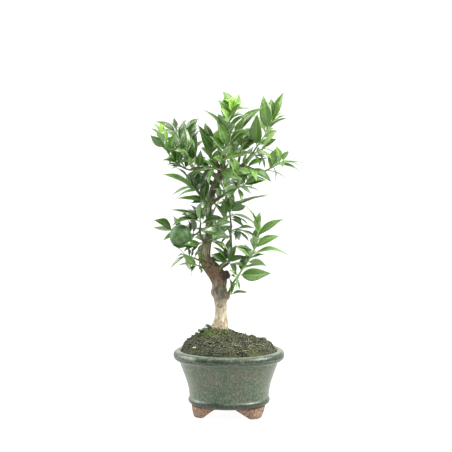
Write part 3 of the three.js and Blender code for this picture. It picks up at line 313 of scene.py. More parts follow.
# What only the render needs
CORNER_MATCH = 0.02
VISUAL_WIDTH = 1.06
BLADE_PLACES = np.array([0, 0.035, 0.08, 0.15, 0.24, 0.33, 0.43, 0.53, 0.63, 0.73, 0.82, 0.90, 0.96, 1])
BLADE_RING = (
    (1.0, True), (0.78, True), (0.52, True), (0.22, True), (0.0, True), (-0.22, True), (-0.52, True),
    (-0.78, True), (-1.0, False), (-0.70, False), (-0.35, False), (-0.10, False), (0.10, False),
    (0.35, False), (0.70, False), (0.92, False),
)
STEM_SIDES = 8
YOUNG_SHOOTS = ("left_tip", "leader", "right_top")
YOUNG_LENGTH = 19
WOOD_VOXEL = 0.66
LIMB_STEP = 1.2
TRUNK_FOOT = LIMBS["trunk"][0][:2]
POT_SIDES = 288
FOOT_RINGS = 12
SOIL_SIDES = 220
SOIL_ROWS = 72
CRUMBS = 4200
FLAKES = 1300
FRUIT_HEIGHT = 1.09  # against its width
FRUIT_GRID = (48, 72)
BLOB_EDGE = 1.2
LITTER_REACH = 58
BACK_BIAS = 0.04  # how little a stem's depth counts when the nearest is sought in front view
TONE_REACH = 4  # how near a leaf's tip must be to a place in LEAF_TONES
ROUND_LEAF = ((0.05, 0.14), (0.5, 0.17), (0.85, 0.12), (1.0, 0.0), (0.85, -0.1), (0.5, -0.12), (0.05, -0.12))
STUB_FACE = ((-11, -1, 182, 6.4), (-8, -6, 184, 6.2), (-5, -9, 185.5, 5.6))
STRAWS = 90
KNOT = (-11.8, -7.6, 145.5)  # an old cut on the front of the trunk
ASH_STREAK = ((-15, -10, 168), (-13, -11, 165), (-11, -11.5, 162), (-8.5, -11, 159), (-6, -10, 156))
KNOBS = (((-22.5, -1, 161), 4, 1.6), ((-2, -4, 156), 3.5, 1.4))  # the place, reach and height of each
RUSTY_PLACES = (((-24, -8, 189), 6), ((-17, -11, 186), 4.5))
BARE_PLACE = (-18.7, 2, 334)  # where a limb has lost its bark
MOSS_PLACE = (-27, -6, 112)
WALL_LINE = ((52.4, 25.6), (53.3, 34), (55.6, 44), (60.9, 59), (65, 70.4))  # radius and height
INNER_LINE = ((60.2, 76), (50.4, 43), (46, 23), (42, FLOOR))
STAGE_DROP = 0.05
STAGE_GLOW = 0.95
STAGE_SIZE = (-2.6, 1.6, 2.4, 0.8, 3.2)  # metres: front end, depth, height, bend, half width
LIT_HEIGHT = 0.22  # metres: what the lights are turned to
CAMERA_LENS = 100
CAMERA_PLACE = (-3.93, -1645, 345.5)
CAMERA_TILT = 86.66
WORLD_LIGHT = (0.24, 0.88)  # in front, and at the sides, behind and above
SOIL_SETTLE = 1.5  # how far the finer soil lies below the part's
MOSS_TUFTS = 420
# Bark chips on the soil: x, y, length, half width, turn
CHIPS = (
    (8, -45, 18, 0.65, -0.3), (16.2, -57.8, 15, 0.8, 0.03), (-28.9, -39.75, 6, 0.75, 0.45),
    (-46.5, -38, 8, 1.8, 0.1), (15.4, -28, 6, 0.4, -0.7), (-20.1, -24.75, 5, 0.4, 0.2),
    (-9, -54.75, 7, 0.4, 0.5), (29.3, -40.5, 7, 0.4, -0.2), (-0.1, -33, 6, 0.35, -0.9),
    (43.7, -29.5, 6, 0.45, 0.3), (38, 12, 6, 0.6, 0.9), (-5, 38, 7, 0.7, 0.3),
)
# Weeds: x, y, height and spread
SPROUTS = (
    (-32, -7, 5.5, 3.2), (-27.5, -3, 5.5, 2.6), (-37, 4, 5.5, 2.8), (-42, -2, 6, 1.8), (48, 6, 3.5, 1.8),
)
# Leaves that only the render has: base x, z, tip x, z, how far forward, how it faces, youth, width
MORE_LEAVES = (
    (8, 174, 1, 186, 6, 0.6, 0.4, 1.2), (13, 184, 0, 193, 6, 0.7, 0.3, 1.1),
    (9, 177, 13, 166, 5, 0.6, 0.3, 1.3), (14, 186, 26, 200, 5, 0.5, 0.5, 0.9),
    (-7, 391, -15, 413, 8, 0.7, 0, 1.1), (9, 386, 17, 414, 4, 0.8, 0, 1.15),
    (16, 374, 31, 398, 10, 0.5, 0, 0.95), (-1, 386, -11, 403, 14, 0.8, 0.12, 1.1),
    (3, 407, -8, 415, 10, 0.3, 0.8, 0.9), (4, 411, 8, 418, 8, 0.5, 0.95, 0.9),
    (4, 409, 13, 410, 9, -0.4, 0.9, 0.8), (7, 401, 26, 403, 12, 0.3, 0.6, 0.6),
    (3, 399, 0, 412, 12, 0.8, 0.7, 1.2), (-18, 371, -33, 401, 6, 0.35, 0, 0.65),
    (-37, 353, -41, 383, 4, 0.4, 0, 0.8), (-34, 343, -39, 374, 8, 0.8, 0, 1),
    (-28, 336, -37, 354, 16, 0.6, 0, 1), (-76, 339, -100, 361, 4, 0.25, 0, 0.6),
    (-80, 356, -84, 379, 10, 0.5, 0.35, 0.85), (-51, 323, -69, 337, 6, 0.5, 0, 1),
    (-54, 312, -72, 328, 2, 0.4, 0, 0.8), (-4, 353, -16, 388, 12, 0.85, 0.05, 1.15),
    (0, 354, 30, 379, 16, 0.3, 0, 0.7), (10, 341, 13, 382, 10, 0.9, 0, 1.1),
    (43, 346, 61, 362, 4, 0.6, 0, 1), (51, 369, 74, 390, 0, 0.3, 0, 0.6), (22, 328, 37, 345, 12, 0.5, 0, 1),
    (14, 329, 24, 346, 6, 0.7, 0, 1), (12, 281, 9, 299, 14, 0.6, 0, 1), (22, 295, 47, 310, 4, 0.6, 0, 1),
    (18, 278, 51, 289, 6, 0.3, 0, 0.6), (38, 264, 22, 276, 4, 0.35, 0, 0.7),
    (41, 244, 42, 265, 10, 0.6, 0, 1), (4, 259, 20, 248, 10, 0.6, 0, 1), (10, 250, 33, 247, 8, 0.5, 0, 0.9),
    (3, 234, -3, 248, 12, 0.6, 0, 0.9), (30, 218, 7, 224, 6, 0.35, 0, 0.7),
    (28, 210, 10, 222, 10, 0.7, 0, 1), (0, 202, 16, 206, 6, 0.7, 0, 0.9),
    (-9, 215, -21, 223, 12, 0.5, 0, 0.9), (-35, 202, -41, 219, 12, 0.6, 0, 0.9),
    (-31, 202, -39, 194, 10, 0.6, 0, 0.8), (-41, 219, -59, 217, 6, 0.6, 0, 0.9),
    (5, 166, 0, 183, 6, 0.6, 0, 0.9), (5, 166, 9, 177, 8, 0.7, 0, 1), (-39, 305, -51, 318, 12, 0.8, 0, 1.2),
    (-29, 294, -34, 307, 12, 0.7, 0, 1.2), (-39, 378, -39, 391, 4, 0.6, 0, 0.9),
    (46, 378, 50, 399, 2, 0.6, 0, 1), (56, 386, 71, 399, 3, 0.5, 0.8, 0.9),
    (56, 386, 59, 396, 3, 0.5, 0.75, 0.9), (34, 202, 48, 213, 4, 0.6, 0, 0.9),
    (-20, 239, -35, 245, 16, 0.8, 0, 1.2), (-22, 226, -35, 232, 8, 0.6, 0, 0.8),
    (-7, 236, -29, 250, 12, 0.6, 0, 1), (-30, 325, -43, 339, 14, 0.7, 0, 1.1),
    (-13, 349, -26, 367, 12, 0.8, 0, 1.1), (14, 320, 4, 341, 14, 0.7, 0, 1.1),
    (-67, 336, -79, 353, 10, 0.7, 0, 1.1), (-62, 331, -68, 350, 16, 0.8, 0, 1.2),
    (-55, 325, -58, 348, 12, 0.7, 0, 1.2), (-51, 324, -45, 345, 18, 0.8, 0, 1.2),
    (-46, 323, -34, 340, 10, 0.6, 0, 1.1), (-64, 332, -86, 337, 6, 0.5, 0, 0.9),
    (-75, 345, -83, 363, 8, 0.7, 0, 1.1), (-58, 327, -79, 328, 4, 0.5, 0, 0.9),
    (8, 401, 3, 416, 10, 0.6, 0.8, 0.8), (9, 403, 12, 417, 12, 0.7, 0.85, 0.8),
    (9, 401, 18, 411, 8, 0.5, 0.7, 0.8), (56, 391, 55, 417, 2, 0.8, 0, 0.9),
)
# Leaves by the place of their tips: x, z, tone from dark to pale, which holds the leaf's own colour together
# with painted light and shade, width, and how far the middle hangs
LEAF_TONES = (
    (-77, 193, 0.5, 0.5), (-69, 286, 0.7, 0.62), (-61, 292, 0.9, 0.65), (-76, 288, 0.6, 0.65),
    (-61, 215, 0.6, 0.9), (-8, 425, 0.35, 1.1), (-1, 384, 0.6, 1), (-15, 396, 0.7, 1), (-30, 305, 0.3, 0.4),
    (-19, 290, 0.35, 0.5), (-12, 311, 0.4, 0.55), (55, 417, 0.25, 0.9), (-79, 353, 0.3, 1),
    (-68, 350, 0.4, 1), (-58, 348, 0.3, 1), (-45, 345, 0.35, 1), (-34, 340, 0.25, 1), (-86, 337, 0.5, 1),
    (-83, 363, 0.45, 1), (-23, 298, 0.3, 0.45), (-28, 270, 0.35, 0.55), (-29, 263, 0.35, 0.6),
    (-26, 305, 0.25, 0.7), (11, 168, 0.12, 0.8), (9, 187, 0.25, 1.0), (-87, 318, 0.95, 1.1, 2.0),
    (-81, 294, 1, 1.1), (-99, 257, 0.35, 1.05, -2.5), (-99, 247, 1, 1, 2.2), (-77, 227, 0.9, 1),
    (-62, 215, 0.9, 1.1), (-58, 227, 0.42, 1.1), (45, 421, 0.58, 1.0), (72, 425, 0.6, 1.0, 2.5),
    (77, 348, 0.85, 1.1), (64, 353, 0.8, 1.05), (-1, 219, 0.95, 0.9), (14, 311, 0.55, 1),
    (-93, 373, 0.9, 1.1), (24, 209, 0.3, 1), (-37, 253, 0.15, 1.1), (-35, 246, 0.12, 1.1),
    (-41, 382, 0.0, 1), (-29, 386, 0.1, 0.9), (56, 417, 0.05, 1), (-55, 391, 0.1, 1), (-46, 391, 0.15, 0.9),
    (18, 395, 0.5, 1.2), (44, 404, 0.45, 1.2), (-24, 213, 0.2, 1.2), (0, 229, 0.1, 1.1), (55, 307, 0.35, 1),
    (13, 422, 0.5, 1.2), (-5, 421, 0.7, 1.25), (-3, 415, 0.95, 1.2), (37, 396, 0.62, 1.05),
    (-34, 403, 0.5, 0.75), (76, 392, 0.5, 0.7), (98, 332, 0.6, 0.8, 2.0), (75, 310, 0.6, 0.6),
    (69, 259, 0.6, 1, -2.2), (64, 235, 0.65, 1.05, -1.8), (77, 214, 0.75, 0.9, -2.6),
    (55, 189, 0.5, 1.2, 2.4), (29, 162, 0.5, 1.1, 1.2), (48, 310, 0.5, 1.1, -1.5), (52, 291, 0.55, 0.8, 2.5),
    (-77, 272, 0.35, 1, 2.0), (62, 363, 0.5, 1, 2.0), (-72, 391, 0.5, 1.1), (37, 250, 0.6, 1),
    (16, 252, 0.3, 1), (-73, 252, 0.25, 1.1, -1.5),
)


# Numbers, curves and noise


def draw(number):
    """The part's repeatable draw between 0 and 1 for each whole number."""
    mask = 0xFFFFFFFF
    t = (number * 0x9E3779B1) & mask
    t = ((t ^ (t >> 15)) * 0x85EBCA6B) & mask
    t = ((t ^ (t >> 13)) * 0xC2B2AE35) & mask
    return (t ^ (t >> 16)) / 4294967296


def between(span, number):
    return span[0] + (span[1] - span[0]) * draw(number)


def unit(vector):
    return vector / np.linalg.norm(vector)


def smooth_step(low, high, value):
    t = np.clip((value - low) / (high - low), 0, 1)
    return t * t * (3 - 2 * t)


def rounded(points, times=2):
    """A line with its corners cut, so that it bends smoothly; any further columns go with it."""
    line = np.array(points, float)
    for _ in range(times):
        first = line[:-1] * 0.75 + line[1:] * 0.25
        second = line[:-1] * 0.25 + line[1:] * 0.75
        inner = np.stack([first, second], 1).reshape(-1, line.shape[1])
        line = np.vstack([line[:1], inner[1:-1], line[-1:]])
    return line


def turns_of(sides):
    return 2 * math.pi * np.arange(sides) / sides


def circle(first, second, radius, turns):
    """The places round a ring, from its middle, along two directions."""
    return np.outer(radius * np.cos(turns), first) + np.outer(radius * np.sin(turns), second)


def noise_at(points, scale, seed=0.0):
    """Noise from about -1 to 1 at each point; scale is in cells per millimetre, or one for each axis."""
    return np.array([noise.noise(Vector(p)) for p in np.asarray(points, float) * scale + seed])


def tree_of(points):
    tree = KDTree(len(points))
    for i, point in enumerate(points):
        tree.insert(point, i)
    tree.balance()
    return tree


def spline(points, steps):
    """Points along a smooth curve through the given ones, as many steps between each two."""
    p = np.array(points, float)
    ends = np.vstack([2 * p[0] - p[1], p, 2 * p[-1] - p[-2]])
    out = []
    for i in range(1, len(ends) - 2):
        a, b, c, d = ends[i - 1 : i + 3]
        for t in np.arange(steps) / steps:
            curved = (2 * a - 5 * b + 4 * c - d) * t**2 + (3 * b - a - 3 * c + d) * t**3
            out.append(0.5 * (2 * b + (c - a) * t + curved))
    out.append(p[-1])
    return np.array(out)


# Putting pieces together


def linked(name, data):
    """A new object in the scene."""
    made = bpy.data.objects.new(name, data)
    bpy.context.scene.collection.objects.link(made)
    return made


class Skin:
    """The points, faces and point values of a piece; a face's look is its material's number."""

    def __init__(self, values=()):
        self.points, self.faces, self.looks = [], [], []
        self.values = {name: [] for name in values}
        self.count = 0

    def add(self, points, faces, look=0, **values):
        points = np.asarray(points, float).reshape(-1, 3)
        self.points.append(points)
        self.faces += [tuple(int(i) + self.count for i in face) for face in faces]
        self.looks += [look] * len(faces) if isinstance(look, int) else look
        for name, stored in self.values.items():
            stored.append(np.broadcast_to(np.asarray(values.get(name, 0.0), float), len(points)))
        self.count += len(points)

    def piece(self, name, materials):
        points = np.vstack(self.points)
        mesh = bpy.data.meshes.new(name)
        placed = points * MM + np.array([AXIS.x, AXIS.y, 0])
        mesh.from_pydata(placed.tolist(), [], self.faces)
        for material in materials:
            mesh.materials.append(material)
        mesh.polygons.foreach_set("material_index", np.array(self.looks, np.int32))
        mesh.polygons.foreach_set("use_smooth", np.full(len(self.faces), True))
        for key, stored in self.values.items():
            attribute = mesh.attributes.new(key, "FLOAT", "POINT")
            attribute.data.foreach_set("value", np.concatenate(stored).astype(np.float32))
        mesh.update()
        return linked(name, mesh)


def place_piece(piece, slot, *nodes):
    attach(piece, "root")
    if nodes:
        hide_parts(*nodes)
    return piece


def tube_faces(rings, sides):
    """Quads between rings of points that run alike, with both ends closed."""
    faces = []
    for ring in range(rings - 1):
        for i in range(sides):
            a, b = ring * sides + i, ring * sides + (i + 1) % sides
            faces.append((a, b, b + sides, a + sides))
    faces.append(tuple(range(sides))[::-1])
    faces.append(tuple(range((rings - 1) * sides, rings * sides)))
    return faces


def ways_across(centres):
    """Two ways across a line at each of its points, turned as little as can be from one to the next."""
    across = np.array([1, 0.2, 0.1])
    for i in range(len(centres)):
        heading = unit(centres[min(i + 1, len(centres) - 1)] - centres[max(i - 1, 0)])
        across = unit(across - heading * across.dot(heading))
        yield across, np.cross(heading, across)


def tube_rings(line, sides, relief=None):
    """Rings of points round a line of x, y, z and radius."""
    line = np.asarray(line, float)
    turns = turns_of(sides)
    rings = []
    for (*centre, radius), (across, upright) in zip(line, ways_across(line[:, :3])):
        radii = radius * (relief(turns, centre[2]) if relief else np.ones(sides))
        rings.append(np.array(centre) + circle(across, upright, radii, turns))
    return np.array(rings)


def add_tube(skin, line, sides, look=0, relief=None, **values):
    rings = tube_rings(line, sides, relief)
    skin.add(rings, tube_faces(len(rings), sides), look, **values)


# Materials


class Look:
    """A material and short ways to add nodes to it."""

    def __init__(self, name, roughness, **constants):
        self.material = bpy.data.materials.new(name)
        self.material.use_nodes = True
        self.tree = self.material.node_tree
        self.shader = self.tree.nodes["Principled BSDF"]
        self.set(Roughness=roughness, **constants)
        self.place = self.node("ShaderNodeTexCoord").outputs["Object"]

    def set(self, **constants):
        """Values on the shader's own sockets."""
        for key, value in constants.items():
            self.shader.inputs[key.replace("_", " ")].default_value = value

    def node(self, kind, sources=(), **settings):
        """A node with these settings, and with a value or a wire on these of its sockets."""
        made = self.tree.nodes.new(kind)
        for key, value in settings.items():
            setattr(made, key, value)
        for key, source in dict(sources).items():
            self.wire(source, made.inputs[key])
        return made

    def wire(self, source, target):
        if isinstance(source, bpy.types.NodeSocket):
            self.tree.links.new(source, target)
        elif isinstance(source, tuple) and target.type == "RGBA":
            target.default_value = (*source, 1)
        else:
            target.default_value = source

    def texture(self, kind, cell, stretch=1, place=None, **values):
        """A texture whose cells are about this many millimetres wide, stretched upwards."""
        spread = {"Vector": place or self.place, "Scale": [1, 1, 1 / stretch]}
        mapping = self.node("ShaderNodeMapping", spread)
        return self.node(kind, {"Vector": mapping.outputs["Vector"], "Scale": 1 / (cell * MM), **values})

    def noise(self, cell, detail, stretch=1, place=None, distortion=0.0):
        """Noise from 0 to 1."""
        values = {"Detail": detail, "Roughness": 0.55, "Distortion": distortion}
        return self.texture("ShaderNodeTexNoise", cell, stretch, place, **values).outputs["Fac"]

    def value(self, name):
        return self.node("ShaderNodeAttribute", attribute_name=name).outputs["Fac"]

    def height(self):
        """Height above the table in millimetres."""
        split = self.node("ShaderNodeSeparateXYZ", {0: self.place})
        return self.times(split.outputs["Z"], 1 / MM)

    def maths(self, operation, a, b=0.0):
        return self.node("ShaderNodeMath", {0: a, 1: b}, operation=operation).outputs[0]

    def times(self, a, b):
        return self.maths("MULTIPLY", a, b)

    def wandering(self, height, noise, reach):
        """The height, moved up and down by this much of a noise."""
        return self.maths("ADD", height, self.times(self.maths("SUBTRACT", noise, 0.5), reach))

    def between(self, value, low, high):
        """0 below low and 1 above high, smoothly."""
        ends = {"Value": value, "From Min": low, "From Max": high}
        return self.node("ShaderNodeMapRange", ends, interpolation_type="SMOOTHSTEP").outputs["Result"]

    def belt(self, value, low, full, last, high):
        """1 from full to last, and 0 below low and above high."""
        return self.times(self.between(value, low, full), self.between(value, high, last))

    def mix(self, share, a, b, blend="MIX"):
        made = self.node("ShaderNodeMix", data_type="RGBA", blend_type=blend)
        for socket, source in ((0, share), (6, a), (7, b)):
            self.wire(source, made.inputs[socket])
        return made.outputs[2]

    def over(self, skin, share, strength, colour):
        """The colour laid over the skin, where the share is high."""
        return self.mix(self.times(share, strength), skin, colour)

    def ramp(self, value, places, *colours):
        """A colour for each value, with a colour at each of the places."""
        made = self.node("ShaderNodeValToRGB", {"Fac": value})
        elements = made.color_ramp.elements
        while len(elements) < len(colours):
            elements.new(0.5)
        for element, place, colour in zip(elements, places, colours):
            element.position = place
            element.color = (*colour, 1)
        return made.outputs["Color"]

    def colour(self, source):
        self.wire(source, self.shader.inputs["Base Color"])

    def shine(self, value, low, high):
        """Roughness from low to high as the value goes from 0 to 1."""
        made = self.node("ShaderNodeMapRange", {"Value": value, "To Min": low, "To Max": high})
        self.wire(made.outputs["Result"], self.shader.inputs["Roughness"])

    def bump(self, height, depth):
        """A bump whose full height is this many millimetres, over any earlier one."""
        made = self.node("ShaderNodeBump", {"Height": height, "Strength": 1.0, "Distance": depth * MM})
        earlier = self.shader.inputs["Normal"].links
        if earlier:
            self.wire(earlier[0].from_socket, made.inputs["Normal"])
        self.wire(made.outputs["Normal"], self.shader.inputs["Normal"])


def leaf_look(name, upper):
    """Leaf tissue from its own values: across and along the blade, tint and youth, where the tint of the
    crown's leaves also carries painted light and shade.
    """
    look = Look(name, 0.36 if upper else 0.5, IOR=1.45)
    across, along = look.value("across"), look.value("along")
    tint, young = look.value("tint"), look.value("young")
    if upper:
        shades = ((0.012, 0.039, 0.004), (0.034, 0.098, 0.009), (0.096, 0.206, 0.030), (0.240, 0.390, 0.110))
        blade = look.ramp(tint, (0.0, 0.35, 0.7, 1.0), *shades)
        vein, rib = (0.14, 0.27, 0.06), (0.25, 0.39, 0.12)
        # edge is the colour of a painted highlight along the rim of the upper side.
        edge, fresh = (0.22, 0.37, 0.10), (0.38, 0.70, 0.09)
    else:
        blade = look.ramp(tint, (0.0, 1.0), (0.080, 0.165, 0.055), (0.225, 0.355, 0.145))
        vein, rib = (0.24, 0.37, 0.16), (0.36, 0.50, 0.24)
        # edge is the colour of a painted highlight along the rim of the underside.
        edge, fresh = (0.28, 0.42, 0.17), (0.52, 0.80, 0.10)
    blade = look.over(blade, look.noise(7, 3), 0.35, look.mix(0.5, blade, vein))
    # Side veins lean towards the tip
    lean = look.times(across, 3.2)
    wave = look.maths("SINE", look.maths("SUBTRACT", look.times(along, 44.0), lean))
    veins = look.times(look.between(wave, 0.80, 1.0), look.between(across, 0.98, 0.70))
    blade = look.over(blade, veins, 0.30, vein)
    blade = look.over(blade, look.between(across, 0.15, 0.04), 0.42, rib)
    # A painted highlight: a pale rim along the edge of each blade.
    blade = look.over(blade, look.between(across, 0.86, 1.0), 0.60, edge)
    look.colour(look.mix(young, blade, fresh))
    look.shine(look.noise(3, 2), *((0.22, 0.40) if upper else (0.40, 0.56)))
    look.set(Coat_Weight=0.3 if upper else 0.0, Coat_Roughness=0.15)
    look.set(Subsurface_Weight=0.22, Subsurface_Radius=(0.5, 1.0, 0.12), Subsurface_Scale=0.9 * MM)
    look.bump(look.maths("SUBTRACT", 1.0, veins), 0.12)
    look.bump(look.noise(1.1, 2), 0.05)
    return look.material


def stem_look():
    look = Look("green_stem", 0.5)
    grain = look.noise(1.2, 3, stretch=4)
    green = look.mix(grain, (0.12, 0.26, 0.05), (0.23, 0.39, 0.10))
    brown = look.mix(grain, (0.070, 0.095, 0.030), (0.17, 0.20, 0.075))
    skin = look.mix(look.between(look.value("along"), 0.02, 0.30), brown, green)
    look.colour(look.mix(look.value("young"), skin, (0.34, 0.58, 0.08)))
    look.bump(grain, 0.15)
    return look.material


def bark_look():
    """Bark from cream at the foot through grey-brown to dark twigs, with the marks that it carries, painted
    shade in the hollows of the bend, and cracks darkened partly as painted shade.
    """
    look = Look("bark_skin", 0.8)
    height = look.height()
    grown_at = {axis: look.times(look.value("bark_" + axis.lower()), MM) for axis in "XYZ"}
    grown = look.node("ShaderNodeCombineXYZ", grown_at).outputs[0]
    streaks = look.noise(2.6, 6, stretch=5, place=grown, distortion=0.5)
    blotches = look.noise(9, 4, stretch=1.6)
    fine = look.noise(0.8, 4, stretch=3.5, place=grown)
    pale_shades = ((0.13, 0.098, 0.060), (0.31, 0.255, 0.175), (0.47, 0.412, 0.300), (0.60, 0.550, 0.415))
    pale = look.ramp(streaks, (0.24, 0.38, 0.52, 0.72), *pale_shades)
    steps = (0.34, 0.48, 0.62)
    grey = look.ramp(streaks, steps, (0.048, 0.038, 0.026), (0.145, 0.124, 0.086), (0.300, 0.265, 0.190))
    umber = look.ramp(streaks, steps, (0.032, 0.021, 0.010), (0.100, 0.072, 0.040), (0.255, 0.200, 0.124))
    tan = look.ramp(streaks, steps, (0.085, 0.074, 0.042), (0.215, 0.190, 0.122), (0.390, 0.350, 0.240))
    steps = (0.34, 0.50, 0.66)
    dark = look.ramp(streaks, steps, (0.040, 0.029, 0.017), (0.135, 0.104, 0.064), (0.270, 0.220, 0.145))
    ragged = look.wandering(height, blotches, 26.0)
    skin = pale
    zones = ((143, 166, grey), (178, 190, umber), (202, 210, tan), (228, 240, grey), (262, 305, dark))
    for low, high, bark in zones:
        skin = look.mix(look.between(ragged, low, high), skin, bark)

    def grained(low, high):
        return look.mix(fine, low, high)

    skin = look.mix(look.value("slim"), skin, grained((0.055, 0.075, 0.022), (0.165, 0.190, 0.070)))
    bend = look.belt(height, 168, 178, 203, 212)
    mottle = look.noise(5.5, 5, stretch=1.4, distortion=0.8)
    scabs = look.times(bend, look.between(mottle, 0.50, 0.57))
    skin = look.over(skin, scabs, 0.75, grained((0.130, 0.066, 0.031), (0.420, 0.280, 0.165)))
    # Painted shade: near-black where the mottle, and with it the bump, is low in the bend.
    painted_shade_in_hollows = look.times(bend, look.between(mottle, 0.46, 0.40))
    skin = look.over(skin, painted_shade_in_hollows, 0.85, (0.018, 0.012, 0.007))
    stain = look.between(look.noise(14, 4, stretch=2), 0.58, 0.70)
    skin = look.over(skin, stain, 0.55, grained((0.10, 0.066, 0.036), (0.27, 0.19, 0.11)))
    for mark, low, high in (
        ("ash", (0.050, 0.056, 0.052), (0.120, 0.128, 0.112)),
        ("rust", (0.085, 0.040, 0.020), (0.220, 0.125, 0.070)),
        ("crust", (0.150, 0.082, 0.038), (0.420, 0.270, 0.150)),
        ("knot", (0.055, 0.036, 0.020), (0.165, 0.115, 0.065)),
        ("wound", (0.014, 0.011, 0.008), (0.078, 0.058, 0.038)),
        ("bare", (0.36, 0.20, 0.13), (0.52, 0.34, 0.24)),
        ("green", (0.040, 0.055, 0.016), (0.130, 0.150, 0.050)),
    ):
        skin = look.mix(look.value(mark), skin, grained(low, high))
    # The deep value darkens the cracks: partly the darker bark of the fissures, partly painted shade in the
    # recesses.
    cracked = look.mix(1.0, skin, (0.42, 0.38, 0.34), "MULTIPLY")
    look.colour(look.over(skin, look.value("deep"), 0.8, cracked))
    look.shine(fine, 0.62, 0.9)
    look.bump(mottle, 0.5)
    look.bump(streaks, 0.75)
    look.bump(fine, 0.35)
    return look.material


def glaze_look():
    """Speckled grey-green glaze, dark where it pools, down to bare clay at the feet, with painted shade on
    the lip's outer face, a painted shadow line under the lip and a partly painted highlight along its crest.
    """
    look = Look("glaze_and_clay", 0.3, IOR=1.5, Coat_Weight=0.40, Coat_Roughness=0.45, Coat_IOR=1.6)
    height = look.height()
    clouds = look.noise(26, 4, stretch=1.4, distortion=0.4)
    drift = look.noise(11, 4, stretch=1.5, distortion=0.6)
    mottle = look.noise(2.0, 5, stretch=1.5, distortion=0.4)
    speckle = look.noise(0.75, 3)
    both = look.maths("ADD", look.times(mottle, 0.55), look.times(speckle, 0.45))
    steps = (0.39, 0.50, 0.61)
    olive = look.ramp(both, steps, (0.016, 0.024, 0.009), (0.057, 0.074, 0.034), (0.158, 0.180, 0.098))
    teal = look.ramp(both, steps, (0.004, 0.022, 0.008), (0.021, 0.060, 0.027), (0.104, 0.160, 0.086))
    brown = look.ramp(both, steps, (0.032, 0.030, 0.012), (0.076, 0.075, 0.038), (0.165, 0.164, 0.094))
    steps = (0.36, 0.52, 0.68)
    # deep is dark pooled glaze, also laid on as painted shade on the lip and under it.
    deep = look.ramp(both, steps, (0.001, 0.006, 0.002), (0.005, 0.018, 0.007), (0.056, 0.086, 0.046))
    low = look.between(look.maths("ADD", height, look.times(drift, 36.0)), 72, 50)
    body = look.over(olive, look.between(clouds, 0.44, 0.56), 0.85, brown)
    body = look.over(body, look.between(drift, 0.60, 0.44), 0.70, teal)
    body = look.over(body, low, 0.45, teal)
    wavy = look.wandering(height, clouds, 9.0)
    # The lip's outer face: glaze pooled on the roll, darkened partly as painted shade.
    lip = look.times(look.belt(wavy, 77.8, 79.6, 84.2, 85.6), look.between(clouds, 0.30, 0.48))
    # A painted shadow line under the lip's roll, laid on as dark glaze.
    under_lip = look.times(look.belt(wavy, 75.2, 76.3, 77.0, 78.0), look.between(clouds, 0.62, 0.40))
    band = look.times(look.between(wavy, 25.0, 22.0), look.between(height, 15, 17))
    pooled_glaze_and_painted_shade = look.maths("MAXIMUM", look.maths("MAXIMUM", lip, look.times(band, 0.88)), under_lip)
    body = look.mix(pooled_glaze_and_painted_shade, body, deep)
    # A pale line along the lip's crest: partly the glaze's own paler edge, partly a painted highlight.
    body = look.over(body, look.between(height, 85.3, 86.3), 0.45, (0.200, 0.230, 0.160))
    body = look.over(body, look.between(look.noise(1.6, 2), 0.63, 0.70), 0.45, (0.30, 0.33, 0.24))
    body = look.over(body, look.between(look.noise(1.3, 2), 0.36, 0.30), 0.55, (0.030, 0.042, 0.030))
    grain = look.noise(2.2, 5)
    steps = (0.34, 0.50, 0.66)
    clay = look.ramp(grain, steps, (0.085, 0.050, 0.029), (0.200, 0.122, 0.078), (0.37, 0.250, 0.168))
    clay = look.over(clay, look.between(look.noise(0.9, 2), 0.37, 0.31), 0.7, (0.085, 0.050, 0.034))
    edge = look.wandering(height, look.noise(22, 2), 3.0)
    glazed = look.between(edge, 15.9, 16.5)
    burnt = look.belt(edge, 13.4, 15.2, 16.2, 17.6)
    look.colour(look.over(look.mix(glazed, clay, body), burnt, 0.85, (0.082, 0.038, 0.026)))
    bare = look.maths("SUBTRACT", 1.0, glazed)
    look.shine(bare, 0.40, 0.85)
    coat = look.maths("SUBTRACT", 0.42, look.times(pooled_glaze_and_painted_shade, 0.36))
    look.wire(look.times(coat, glazed), look.shader.inputs["Coat Weight"])
    look.bump(look.noise(5, 2), 0.22)
    look.bump(look.times(grain, bare), 0.5)
    look.bump(look.noise(1.3, 2), 0.06)
    return look.material


def soil_look(name):
    look = Look(name, 0.95)
    crumb = look.noise(1.4, 5)
    steps = (0.34, 0.50, 0.66)
    earth = look.ramp(crumb, steps, (0.006, 0.008, 0.003), (0.032, 0.038, 0.019), (0.130, 0.142, 0.084))
    brown = look.ramp(crumb, steps, (0.009, 0.008, 0.004), (0.040, 0.037, 0.019), (0.145, 0.130, 0.078))
    earth = look.mix(look.between(look.noise(9, 3), 0.58, 0.70), earth, brown)
    green = look.ramp(look.noise(0.9, 3), (0.3, 0.7), (0.026, 0.042, 0.010), (0.105, 0.135, 0.040))
    look.colour(look.mix(look.value("moss"), earth, green))
    look.bump(crumb, 0.6)
    return look.material


def flat_look(name, low, high, roughness, cell=1.0, **constants):
    """A plain stuff with a little grain in its colour."""
    look = Look(name, roughness, **constants)
    grain = look.noise(cell, 3)
    look.colour(look.mix(grain, low, high))
    look.bump(grain, 0.1)
    return look.material


def rind_look():
    look = Look("fruit_rind", 0.5, IOR=1.4)
    pores = look.texture("ShaderNodeTexVoronoi", 1.15).outputs["Distance"]
    blotch = look.noise(6, 4)
    steps = (0.36, 0.52, 0.66)
    skin = look.ramp(blotch, steps, (0.026, 0.075, 0.020), (0.050, 0.116, 0.034), (0.100, 0.180, 0.064))
    look.colour(look.mix(look.between(pores, 0.30, 0.10), skin, (0.150, 0.240, 0.100)))
    look.shine(blotch, 0.34, 0.50)
    look.bump(look.between(pores, 0.0, 0.5), 0.14)
    return look.material


# The leaves: each is tried in the part's own places until one is found in the solid


